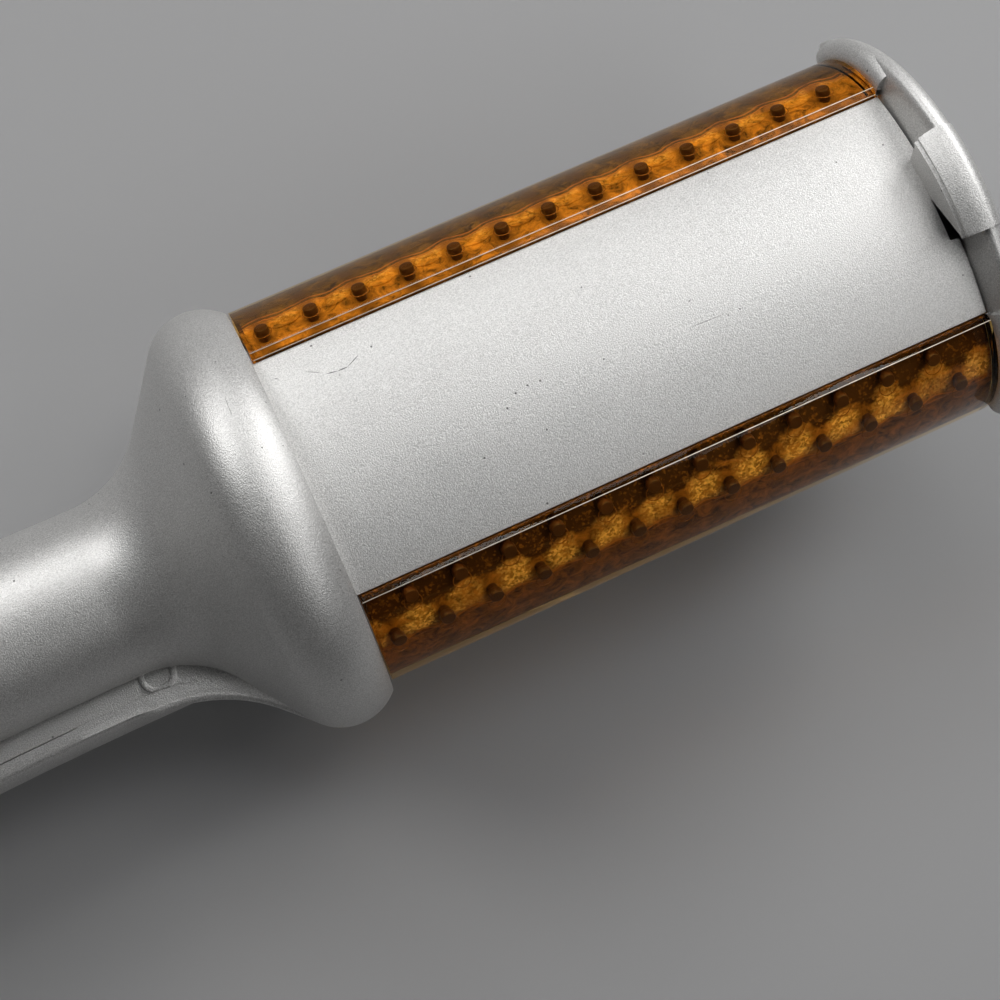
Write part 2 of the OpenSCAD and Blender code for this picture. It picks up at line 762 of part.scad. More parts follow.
cut_r = cool_r + 0.8;
module brush_end_cap() color(silver) place() difference() {
    union() {
        intersection() {
            turned([
                [tip_x, 0], [tip_x, 27], [tip_x + 0.15, 29.5], [tip_x + 0.4, 31.8],
                [tip_x + 0.6, tip_rim_r - 0.9], [tip_x + 0.9, tip_rim_r - 0.25], [tip_x + 1.5, tip_rim_r],
                [tip_x + 2.2, tip_rim_r - 0.1], [tip_x + 2.9, tip_rim_r - 0.6], [tip_x + 3.6, tip_rim_r - 2],
                [tip_x + 4.1, tip_rim_r - 5], [tip_front, tip_rim_r - 12], [tip_front, 0]
            ]);
            span([0, 2 * drum_len], [-far, far], [tip_low, far]);
        }
        intersection() {
            span([notch_x + 0.15, tip_x + 1], [-lug_w, lug_w], [frame_top + 0.1, far]);
            rod_x([0, 2 * drum_len], tip_rim_r - 0.9);
        }
        intersection() {
            span([notch_x - 0.1, notch_x + 0.15], [-lug_w, lug_w], [cover_top + 1, far]);
            difference() {
                rod_x([0, 2 * drum_len], tip_rim_r - 3.6);
                rod_x([0, 2 * drum_len], tip_rim_r - 4.4);
            }
        }
        along_x([drum_len - 10, tip_x + 1]) intersection() {
            arch(frame_out - frame_t - press, plate_under, frame_gap);
            translate([-7, 0]) square([14, far]);
        }
    }
    rod_x([0, 2 * drum_len], cut_r);
    rod_z([0, frame_top], 1.1, cover_screw_x[2], 0);
}

// ---- Bristle strips
function unit(a) = [cos(a), sin(a)];
// How far out from the barrel's axis a ray at angle a meets a circle r of the strip's curve
function reach(a, r) = let (b = side_y * cos(a) + side_z * sin(a))
    b + sqrt(b * b - side_y * side_y - side_z * side_z + r * r);
// Tufts of a strip as [x, angle]; the strip on the left has its longer row next to the cover
function tufts(left) = concat(
    [for (i = [0:tuft_count - 1]) [tuft_start + tuft_pitch * i, left ? row_near_left : row_far]],
    [for (i = [0:tuft_count - 2]) [tuft_start + tuft_pitch * (i + 0.5), left ? row_far : row_near]]
);
holder_in = side_r - holder_t;

module sector(r, from, to, steps = 24) translate([side_y, side_z])
    polygon(concat([[0, 0]], [for (i = [0:steps]) 2 * r * unit(from + (to - from) * i / steps)]));

module along_tuft(x, a, from, to, r)
    translate([x, from * cos(a), from * sin(a)]) rotate([-(90 - a), 0, 0]) cylinder(h = to - from, r = r);

module holder(left) difference() {
    along_x([slack, drum_len - slack]) intersection() {
        translate([side_y, side_z]) difference() {
            circle(side_r);
            circle(holder_in);
        }
        sector(side_r, holder_low, holder_high);
    }
    for (t = tufts(left))
        along_tuft(t[0], t[1], reach(t[1], holder_in) - 1, reach(t[1], side_r) - 1.2, tuft_r + run);
}
module holder_left() color(amber) place() holder(true);
module holder_right() color(amber) place() mirror([0, 1, 0]) holder(false);

module tuft_roots(left)
    for (t = tufts(left))
        along_tuft(t[0], t[1], reach(t[1], holder_in) + 0.3, reach(t[1], side_r) - 1.3, tuft_r);
module tuft_roots_left() color([0.25, 0.12, 0.04]) place() tuft_roots(true);
module tuft_roots_right() color([0.25, 0.12, 0.04]) place() mirror([0, 1, 0]) tuft_roots(false);

// Bristles: each is a thin three-sided spike that leans outwards in its tuft
strand_r = 0.24;
strand_tip_r = 0.15;
tuft_spread = 0.72;
tip_spread = 1.25;
bristle_end = barrel_r + 1.2;
backing = 0.6;
function strand_foot(k) = k == 0 ? [0, 0] : unit(360 * k / (strands - 1));
function strand_ring(t, k, s, spread, r) = let (
    f = strand_foot(k) * spread,
    a = t[1]
) [for (j = [0:2]) let (p = f + r * unit(120 * j + 40 * k))
    [t[0] + p[0], s * cos(a) - p[1] * sin(a), s * sin(a) + p[1] * cos(a)]];
function strand_points(t, k) = concat(
    strand_ring(t, k, reach(t[1], holder_in) - 0.5, tuft_spread, strand_r),
    strand_ring(t, k, bristle_end, tip_spread, strand_tip_r)
);
strand_faces = [[0, 1, 2], [5, 4, 3], [1, 0, 3], [1, 3, 4], [2, 1, 4], [2, 4, 5], [0, 2, 5], [0, 5, 3]];

module bristles(left) {
    list = tufts(left);
    feet = [for (t = list, k = [0:strands - 1]) strand_points(t, k)];
    polyhedron(
        points = [for (f = feet, p = f) p],
        faces = [for (n = [0:len(feet) - 1], f = strand_faces) [for (v = f) v + 6 * n]]
    );
    // The backing that the tufts stand in, a run of short plates under the strip
    step = (drum_len - 2 * slack - 0.4) / 10;
    for (i = [0:9])
        hull() along_x([slack + 0.2 + step * i, slack + 0.2 + step * (i + 1)]) intersection() {
            translate([side_y, side_z]) difference() {
                circle(holder_in - 0.1, $fn = 60);
                circle(holder_in - backing, $fn = 60);
            }
            sector(side_r, 31, 65.5, 6);
        }
}
module bristles_left() color(dark) place() bristles(true);
module bristles_right() color(dark) place() mirror([0, 1, 0]) bristles(false);

// ---- Pieces that the user moves
grip_len = 6;
module heat_slider() color(steel) place() union() {
    base_y = flange_y;
    span([slot_x - 3.5, slot_x + stem_w + 4.5], [-base_y, -base_y + 1], [panel_mid - 3.6, panel_mid + 3.6]);
    span([slot_x + 0.3, slot_x + stem_w + 0.3], [-panel_y - 0.4, -base_y + 0.1], [panel_mid - 1.8, panel_mid + 1.8]);
    span([slot_x - 0.2, slot_x - 0.2 + grip_len], [-panel_y - 2, -panel_y - 0.2], [panel_mid - 3, panel_mid + 3]);
    for (x = [0.6, 2.6, 4.6])
        span([slot_x - 0.2 + x, slot_x + 0.6 + x], [-panel_y - 2.6, -panel_y - 2], [panel_mid - 3, panel_mid + 3]);
}

module power_button() color(steel) place() union() {
    rod_y([-panel_y - 1, -flange_y], button_r, button_x, panel_mid);
    rod_y([-flange_y, -flange_y + 0.6], button_r + 0.9, button_x, panel_mid);
}

module lock_slider() color(dark) place() union() {
    span([lock_x, lock_x + 4], [9.4, 19.4], [-5.9, -4.7]);
    span([lock_x, lock_x + 7.6], [9.4, 10.5], [-6.9, -4.7]);
    span([lock_x, lock_x + 4], [17.4, 19.4], [-5, -0.9]);
    span([lock_x - 1, lock_x + 8], [16.8, 20.2], [split_z + 0.3, 2]);
    for (x = [0.5, 3, 5.5])
        span([lock_x + x, lock_x + x + 1], [16.8, 20.2], [2, 2.6]);
}

module cord_swivel() color(dark) place() difference() {
    union() {
        rod_x([tail_x + wall + 0.4, tail_x + wall + 2.4], gland_r + 2, 0, gland_z);
        rod_x([tail_x - 1, tail_x + wall + 1], gland_r - run, 0, gland_z);
        translate([swivel_end, 0, gland_z]) rotate([0, 90, 0]) cylinder(h = -swivel_end + tail_x - 0.3, r1 = 6, r2 = 8);
    }
    rod_x([swivel_end - 1, 0], cord_r, 0, gland_z);
}

lower_casing();
handle_deck();
tail_cap();
bearing_bracket();
rear_bush();
motor_plate();
gear_motor();
motor_cradle();
spindle();
heater_core();
heater_winding();
thermostat();
front_bush();
tip_cap();
tip_screw();
circuit_board();
board_parts();
switch_board();
heat_switch();
power_switch();
button_spring();
control_plate();
light_pipes();
close_switch();
switch_plunger();
hinge_pin();
opening_spring();
wiring();
deck_screws();
barrel_tube();
barrel_hub();
barrel_front();
drum_gear();
drive_pinion();
motor_shaft();
upper_casing();
upper_liner();
liner_screws();
hinge_bracket();
brush_frame();
frame_screws();
brush_cover();
cover_screws();
brush_end_cap();
holder_left();
holder_right();
tuft_roots_left();
tuft_roots_right();
bristles_left();
bristles_right();
heat_slider();
power_button();
lock_slider();
cord_swivel();
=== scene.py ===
import math
from contextlib import contextmanager
from functools import reduce

import bmesh
import bpy
from bpy.props import FloatProperty, FloatVectorProperty, IntProperty, PointerProperty
from mathutils import Matrix, Vector


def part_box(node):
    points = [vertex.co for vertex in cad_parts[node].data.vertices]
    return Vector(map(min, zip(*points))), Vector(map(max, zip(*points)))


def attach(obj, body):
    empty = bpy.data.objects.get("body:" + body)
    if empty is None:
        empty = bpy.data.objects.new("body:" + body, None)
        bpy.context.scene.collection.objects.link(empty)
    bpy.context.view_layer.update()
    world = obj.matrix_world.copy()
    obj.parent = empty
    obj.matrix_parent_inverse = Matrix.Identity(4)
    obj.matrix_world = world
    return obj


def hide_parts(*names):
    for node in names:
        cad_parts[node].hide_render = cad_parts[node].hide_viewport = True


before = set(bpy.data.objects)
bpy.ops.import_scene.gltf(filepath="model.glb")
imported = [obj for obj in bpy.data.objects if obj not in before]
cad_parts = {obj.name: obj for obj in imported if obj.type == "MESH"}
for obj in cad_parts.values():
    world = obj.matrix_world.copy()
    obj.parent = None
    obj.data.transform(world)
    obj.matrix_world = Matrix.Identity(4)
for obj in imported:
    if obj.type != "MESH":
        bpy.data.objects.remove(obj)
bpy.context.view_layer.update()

bl_info = {
    "name": "Rotating Curling Brush",
    "version": (1, 0, 0),
    "blender": (4, 5, 0),
    "location": "View3D > Sidebar > Curling Brush",
    "description": "Builds the looks of a rotating curling brush around its packed frame",
    "category": "Add Mesh",
}

MM = 0.001

# Places are measured from the bell's front face along the barrel, and from the barrel's axis
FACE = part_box("upper_casing")[1].x
AXIS = (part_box("barrel_tube")[0].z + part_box("barrel_tube")[1].z) / 2
SEAM = 0.3 * MM
SHUT = 0.1 * MM
WELD = 0.001 * MM
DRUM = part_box("holder_left")[1].x + SEAM - FACE
HINGE_BACK = FACE - (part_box("hinge_pin")[0].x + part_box("hinge_pin")[1].x) / 2
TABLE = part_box("lower_casing")[0].z - AXIS


def spot(x, y, z):
    """A point in the frame, from its place along, across and above the barrel's axis."""
    return Vector((FACE + x, y, AXIS + z))


def size_mm(name, description, mm):
    return FloatProperty(name=name, description=description, default=mm * MM, unit="LENGTH")


def size_degrees(name, description, degrees):
    return FloatProperty(name=name, description=description, default=math.radians(degrees), subtype="ANGLE")


class BrushSizes(bpy.types.PropertyGroup):
    """Sizes of the pieces that are modelled here."""

    cover_radius: size_mm("Cover radius", "Radius of the cover's curve", 44)
    cover_crown: size_mm("Cover crown", "Height of the cover above the axis", 26)
    cover_wall: size_mm("Cover wall", "Thickness of the cover", 1.6)
    strip_radius: size_mm("Strip radius", "Radius of a strip's outer face", 18.8)
    strip_side: size_mm("Strip side", "Distance of a strip's curve centre from the middle", 11.2)
    strip_lift: size_mm("Strip lift", "Height of a strip's curve centre", 6)
    strip_wall: size_mm("Strip wall", "Thickness of a strip", 5)
    strip_low: size_degrees("Strip low end", "Angle of a strip's lower end", -12)
    strip_high: size_degrees("Strip high end", "Angle of a strip's cover end", 66.5)
    tuft_pitch: size_mm("Tuft pitch", "Distance between tufts along a row", 7.6)
    tuft_start: size_mm("Tuft start", "Distance from the bell to the first tuft", 3.4)
    tuft_count: IntProperty(
        name="Tufts", description="Tufts in the longer row of a strip", default=13, min=2)
    row_near: size_degrees("Right near row", "Angle of the right strip's row next to the cover", 45)
    row_near_left: size_degrees("Left near row", "Angle of the left strip's row next to the cover", 41)
    row_far: size_degrees("Outer row", "Angle of the outer row", 33)
    peg_radius: size_mm("Peg radius", "Radius of a tuft's root", 1.1)
    bristles: IntProperty(
        name="Bristles", description="Bristles in one tuft", default=8, min=3)
    rim_radius: size_mm("Bell rim", "Radius of the bell's rim", 33.8)
    rim_round: size_mm("Rim round", "Radius of the rim's rounded edge", 8.4)
    rim_depth: size_mm("Rim depth", "Depth of the rim's crest behind its face", 6)
    casing_wall: size_mm("Casing wall", "Wall of the casings", 2)
    split_gap: size_mm("Parting gap", "Gap between the two arms", 1.4)
    grip_drop: size_mm("Grip drop", "Drop of the lower handle's axis", 8)
    barrel_radius: size_mm("Barrel radius", "Radius of the heated barrel", 16)
    tip_radius: size_mm("Tip disc radius", "Radius of the tip disc", 34)


def colour(name, description, r, g, b):
    return FloatVectorProperty(
        name=name, description=description, default=(r, g, b), size=3, min=0, max=1, subtype="COLOR")


class BrushColours(bpy.types.PropertyGroup):
    """Colours of the finishes."""

    silver: colour("Silver", "Silver paint of the shells", 0.606, 0.600, 0.588)
    amber: colour("Amber", "Clear amber of the strips", 0.95, 0.62, 0.20)
    honey: colour("Honey", "Mottled bed under the amber", 0.30, 0.145, 0.035)
    amber_bed: colour("Amber bed", "Stained bed under the left strip", 0.33, 0.165, 0.030)
    olive: colour("Olive", "Outer bed under the left strip", 0.085, 0.055, 0.012)
    # Painted glints: gold that stands in for light caught in the bed
    gold: colour("Gold", "Bright glitter in the bed", 0.95, 0.70, 0.27)
    # Painted shade of the bed, next to the cover and at the tufts
    umber: colour("Umber", "Dark bed under the amber", 0.040, 0.018, 0.006)
    tortoise: colour("Tortoise", "Outer bed under the amber", 0.20, 0.085, 0.018)
    peg: colour("Peg", "Tuft roots", 0.042, 0.017, 0.007)
    socket: colour("Socket", "Edges of the tuft sockets", 0.20, 0.090, 0.028)
    nylon: colour("Nylon", "Bristles", 0.02, 0.018, 0.018)
    charcoal: colour("Charcoal", "Dark moulded plastic", 0.028, 0.028, 0.031)
    ceramic: colour("Ceramic coat", "Coat of the barrel", 0.045, 0.046, 0.052)
    steel: colour("Steel", "Turned and stamped steel", 0.56, 0.57, 0.58)
    bronze: colour("Bronze", "Bushes", 0.52, 0.33, 0.13)
    copper: colour("Copper", "Heater winding", 0.72, 0.34, 0.18)
    porcelain: colour("Porcelain", "Ceramic core", 0.80, 0.78, 0.72)
    white: colour("White plastic", "Gear and plunger", 0.78, 0.77, 0.72)
    board: colour("Board", "Circuit board", 0.02, 0.14, 0.05)
    lens: colour("Lens", "Light pipes", 0.75, 0.80, 0.74)
    rubber: colour("Rubber", "Cord swivel", 0.022, 0.022, 0.023)
    wire: colour("Wire", "Skin of the leads", 0.42, 0.04, 0.03)


def sizes():
    return bpy.context.scene.brush_sizes


def colours():
    return bpy.context.scene.brush_colours


# Modelling tools
def only(*pieces):
    """Leaves object mode clean, with just these pieces selected and the first one active."""
    if bpy.context.object and bpy.context.object.mode != "OBJECT":
        bpy.ops.object.mode_set(mode="OBJECT")
    bpy.ops.object.select_all(action="DESELECT")
    for piece in pieces:
        piece.select_set(True)
    bpy.context.view_layer.objects.active = pieces[0] if pieces else None


@contextmanager
def editing(piece, kind="FACE", pick=None):
    """Edit mode on one piece, with all of it selected, or only the elements that pick accepts."""
    only(piece)
    bpy.ops.object.mode_set(mode="EDIT")
    bpy.ops.mesh.select_mode(type=kind)
    bpy.ops.mesh.select_all(action="SELECT" if pick is None else "DESELECT")
    if pick:
        choose(piece, kind, pick)
    yield
    bpy.ops.object.mode_set(mode="OBJECT")


def choose(piece, kind, pick):
    """Selects, in edit mode, the faces, edges or vertices that pick accepts."""
    mesh = bmesh.from_edit_mesh(piece.data)
    elements = {"FACE": mesh.faces, "EDGE": mesh.edges, "VERT": mesh.verts}[kind]
    for element in elements:
        element.select_set(bool(pick(element)))
    mesh.select_flush_mode()
    bmesh.update_edit_mesh(piece.data)


def middle(edge):
    return (edge.verts[0].co + edge.verts[1].co) / 2


def add(kind, name, **options):
    """Adds a primitive with its place in its mesh."""
    only()
    getattr(bpy.ops.mesh, f"primitive_{kind}_add")(**options)
    piece = bpy.context.object
    piece.name = piece.data.name = name
    bpy.ops.object.transform_apply(location=True, rotation=True, scale=True)
    return piece


def block(name, x, y, z):
    """A box between the two places along, across and above the axis."""
    low, high = spot(x[0], y[0], z[0]), spot(x[1], y[1], z[1])
    return add("cube", name, size=1, location=(low + high) / 2, scale=high - low)


def rod(name, a, b, radius, tip=None, sides=48):
    """A round bar from a to b, which may taper to another radius."""
    turn = (b - a).to_track_quat("Z", "Y").to_euler()
    return add(
        "cone", name, vertices=sides, radius1=radius, radius2=radius if tip is None else tip,
        depth=(b - a).length, location=(a + b) / 2, rotation=turn)


def chain(name, points, closed=False):
    """Draws a line by extruding one vertex from point to point."""
    piece = add("plane", name, size=MM)
    with editing(piece, "VERT"):
        bpy.ops.mesh.merge(type="CENTER")
        bpy.ops.transform.translate(value=points[0])
        for a, b in zip(points, points[1:]):
            bpy.ops.mesh.extrude_region_move(TRANSFORM_OT_translate={"value": b - a})
        bpy.ops.mesh.select_all(action="SELECT")
        if closed:
            bpy.ops.mesh.edge_face_add()
    return piece


def bar(name, points, along):
    """A flat outline at one end, drawn out into a solid."""
    piece = chain(name, points, closed=True)
    with editing(piece):
        bpy.ops.mesh.extrude_region_move(TRANSFORM_OT_translate={"value": along})
        bpy.ops.mesh.select_all(action="SELECT")
        bpy.ops.mesh.normals_make_consistent(inside=False)
    return piece


def lathe(name, profile, centre=None, start=0.0, turn=math.tau, steps=96):
    """Turns a profile of (x, radius) points about a line along X, and returns its skin."""
    centre = centre or spot(0, 0, 0)
    side = Vector((0, math.cos(start), math.sin(start)))
    piece = chain(name, [centre + Vector((x, 0, 0)) + side * r for x, r in profile])
    with editing(piece, "VERT"):
        bpy.ops.mesh.spin(steps=steps, angle=-turn, center=centre, axis=(1, 0, 0))
        bpy.ops.mesh.select_all(action="SELECT")
        bpy.ops.mesh.remove_doubles(threshold=WELD)
        bpy.ops.mesh.normals_make_consistent(inside=False)
    return piece


def cap_ends(piece):
    """Closes the open loops of a skin."""
    with editing(piece, "EDGE", lambda e: e.is_boundary):
        bpy.ops.mesh.fill(use_beauty=True)
        bpy.ops.mesh.select_all(action="SELECT")
        bpy.ops.mesh.normals_make_consistent(inside=False)


def slice_flat(piece, point, normal):
    """Cuts a closed piece at a plane, drops what the normal points to and closes the cut."""
    with editing(piece):
        bpy.ops.mesh.bisect(plane_co=point, plane_no=normal, clear_outer=True, use_fill=True)


def modify(piece, kind, **settings):
    """Puts a modifier on a piece and applies it."""
    only(piece)
    bpy.ops.object.modifier_add(type=kind)
    modifier = piece.modifiers[-1]
    for name, value in settings.items():
        setattr(modifier, name, value)
    bpy.ops.object.modifier_apply(modifier=modifier.name)
    return piece


def combine(piece, other, operation, crossing=False):
    """Joins or cuts a piece with another one, which goes away; crossing is for parts that overlap."""
    modify(piece, "BOOLEAN", object=other, operation=operation, solver="EXACT", use_self=crossing)
    bpy.data.objects.remove(other)
    return piece


def cut(piece, *tools):
    """Cuts a piece with tools that don't touch each other."""
    return combine(piece, join(tools), "DIFFERENCE")


def fuse(piece, *others):
    """Grows a piece by others that may overlap each other."""
    return combine(piece, join(others), "UNION", crossing=True)


def join(pieces):
    """Puts separate solids into one piece."""
    only(*pieces)
    if len(pieces) > 1:
        bpy.ops.object.join()
    return pieces[0]


def loft(name, rings):
    """An open skin over rings with equal numbers of points, for a form that no sweep gives."""
    count = len(rings[0])
    faces = [
        (i * count + k, i * count + k + 1, (i + 1) * count + k + 1, (i + 1) * count + k)
        for i in range(len(rings) - 1) for k in range(count - 1)]
    mesh = bpy.data.meshes.new(name)
    mesh.from_pydata([point for ring in rings for point in ring], [], faces)
    piece = bpy.data.objects.new(name, mesh)
    bpy.context.scene.collection.objects.link(piece)
    with editing(piece):
        bpy.ops.mesh.normals_make_consistent(inside=False)
    return piece


def soften(piece, width, angle=30, segments=2):
    """Rounds the edges that are sharper than an angle."""
    modify(
        piece, "BEVEL", width=width, segments=segments, limit_method="ANGLE",
        angle_limit=math.radians(angle), miter_outer="MITER_ARC", use_clamp_overlap=True)
    return piece


def polish(piece, angle=35):
    """Smooth shading that keeps the real edges."""
    only(piece)
    bpy.ops.object.shade_smooth_by_angle(angle=math.radians(angle))
    modify(piece, "WEIGHTED_NORMAL", keep_sharp=True, weight=80)
    return piece


def settle(piece, body, finish, slot, *nodes):
    """Gives a finished piece its material and its body, and hides the nodes that it stands for. The slot is
    not used.
    """
    piece.data.materials.clear()
    piece.data.materials.append(finish)
    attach(piece, body)
    if nodes:
        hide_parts(*nodes)
    return piece


# Shader tools
class Wire:
    """An output of a shader node, which sums can be written with."""

    def __init__(self, socket):
        self.socket, self.tree = socket, socket.id_data

    def at(self, name):
        """Another output of the same node."""
        return Wire(self.socket.node.outputs[name])

    def ramp(self, low, high, start=0.0, end=1.0):
        """Maps the value from one range to another, and holds it at the ends."""
        return put(self.tree, "MapRange", {0: self, 1: low, 2: high, 3: start, 4: end})

    def __add__(self, other):
        return sums("ADD", self, other)

    def __sub__(self, other):
        return sums("SUBTRACT", self, other)

    def __rsub__(self, other):
        return sums("SUBTRACT", other, self)

    def __mul__(self, other):
        return sums("MULTIPLY", self, other)

    def __truediv__(self, other):
        return sums("DIVIDE", self, other)

    def __rtruediv__(self, other):
        return sums("DIVIDE", other, self)


def plug(node, inputs):
    """Links or sets a node's inputs by name or number."""
    for name, value in dict(inputs).items():
        socket = node.inputs[name]
        if isinstance(value, Wire):
            value.tree.links.new(value.socket, socket)
        elif socket.type == "RGBA":
            socket.default_value = (*value, 1)
        else:
            socket.default_value = value


def put(tree, kind, inputs=(), **settings):
    """Adds a shader node with its settings and its inputs."""
    node = tree.nodes.new("ShaderNode" + kind)
    for name, value in settings.items():
        setattr(node, name, value)
    plug(node, inputs)
    return Wire(node.outputs[0])


def sums(operation, *values):
    """A Math node's value."""
    tree = next(value.tree for value in values if isinstance(value, Wire))
    return put(tree, "Math", enumerate(values), operation=operation)


def vectors(operation, a, b):
    """A Vector Math node's value."""
    return put(a.tree, "VectorMath", {0: a, 1: b}, operation=operation)


def scaled(colour, factor):
    """A colour or a vector times a factor."""
    return put(factor.tree, "VectorMath", {0: colour, "Scale": factor}, operation="SCALE")


def blend(mask, a, b):
    """A mix of two colours by a mask."""
    return put(mask.tree, "Mix", {0: mask, 6: a, 7: b}, data_type="RGBA").at(2)


def noise(place, scale, detail, **more):
    return put(place.tree, "TexNoise", {"Vector": place, "Scale": scale, "Detail": detail, **more})


def bump(height, depth):
    return put(height.tree, "Bump", {"Strength": 1.0, "Distance": depth, "Height": height})


def object_place(tree):
    return put(tree, "TexCoord").at("Object")


def shader_group(name, inputs, outputs):
    """Turns a function that wires a group's values into one that returns the group, built only once."""
    def keep(wiring):
        def build():
            if name in bpy.data.node_groups:
                return bpy.data.node_groups[name]
            tree = bpy.data.node_groups.new(name, "ShaderNodeTree")
            for label, kind, value in inputs:
                socket = tree.interface.new_socket(label, in_out="INPUT", socket_type="NodeSocket" + kind)
                socket.default_value = (*value, 1) if kind == "Color" else value
            for label, kind in outputs:
                tree.interface.new_socket(label, in_out="OUTPUT", socket_type="NodeSocket" + kind)
            source = tree.nodes.new("NodeGroupInput").outputs
            given = [Wire(source[label]) for label, kind, value in inputs]
            plug(tree.nodes.new("NodeGroupOutput"), enumerate(wiring(tree, *given)))
            return tree
        return build
    return keep


LOOK = [("Colour", "Color"), ("Roughness", "Float"), ("Height", "Float")]


@shader_group(
    "Flake paint",
    [("Colour", "Color", (0.6, 0.6, 0.6)), ("Flake", "Float", 0.00022), ("Contrast", "Float", 0.16),
     ("Specks", "Float", 0.5), ("Roughness", "Float", 0.4)],
    LOOK)
def flake_group(tree, colour, flake, contrast, specks, roughness):
    """Metallic paint: fine bright and dark flakes, a few dark specks and a slow change of tone."""
    place = object_place(tree)
    flakes = noise(place, 1.0 / flake, 1.0, Roughness=0.6).ramp(0.28, 0.72, -1.0, 1.0)
    tone = noise(place, 45.0, 3.0).ramp(0.3, 0.7, -0.035, 0.035)
    grains = put(tree, "TexVoronoi", {"Vector": place, "Scale": 520.0})
    chosen = put(tree, "SeparateColor", {0: grains.at("Color")}).ramp(0.82, 0.86)
    speck = grains.ramp(0.05, 0.11, 1.0, 0.0) * chosen * specks
    lit = scaled(colour, flakes * contrast + 1.0 + tone)
    return (
        blend(speck, lit, (0.03, 0.03, 0.03)),
        flakes * 0.05 + roughness + tone * 1.2,
        flakes - speck * 3.0)


@shader_group(
    "Moulded grain",
    [("Colour", "Color", (0.03, 0.03, 0.03)), ("Grain", "Float", 0.0004), ("Variation", "Float", 0.12),
     ("Rubbed", "Color", (0.08, 0.08, 0.08)), ("Roughness", "Float", 0.45)],
    LOOK)
def moulded_group(tree, colour, grain, variation, rubbed, roughness):
    """Moulded plastic: a fine spark texture, a slow change of tone and faint rubbed places."""
    place = object_place(tree)
    fine = noise(place, 1.0 / grain, 2.0)
    slow = noise(place, 60.0, 4.0, Roughness=0.6)
    lit = scaled(colour, slow.ramp(0.3, 0.7, -1.0, 1.0) * variation + 1.0)
    rub = slow.ramp(0.60, 0.74, 0.0, 0.5)
    return blend(rub, lit, rubbed), fine * 0.12 + roughness - rub * 0.15, fine


@shader_group(
    "Metal lay",
    [("Colour", "Color", (0.56, 0.57, 0.58)), ("Density", "Vector", (4000, 300, 4000)),
     ("Contrast", "Float", 0.14), ("Roughness", "Float", 0.28)],
    LOOK)
def lay_group(tree, colour, density, contrast, roughness):
    """Worked metal: fine lines drawn out along one direction, with darker pits."""
    drawn = vectors("MULTIPLY", object_place(tree), density)
    swing = noise(drawn, 1.0, 2.0).ramp(0.3, 0.7, -1.0, 1.0)
    return scaled(colour, swing * contrast + 1.0), swing * 0.07 + roughness, swing


@shader_group(
    "Scratch line",
    [("From", "Vector", (0, 0, 0)), ("To", "Vector", (0.01, 0, 0)), ("Width", "Float", 0.0001)],
    [("Mask", "Float")])
def scratch_group(tree, start, end, width):
    """A mask along one straight scratch that thins out at its ends."""
    run = vectors("SUBTRACT", end, start)
    away = vectors("SUBTRACT", object_place(tree), start)
    along, square = (vectors("DOT_PRODUCT", v, run).at("Value") for v in (away, run))
    share = put(tree, "Clamp", {0: along / square})
    gap = vectors("DISTANCE", away, scaled(run, share)).at("Value")
    thin = (1.0 - share) * share
    return [(gap / (width * (thin * 3.0 + 0.25))).ramp(0.5, 1.0, 1.0, 0.0)]


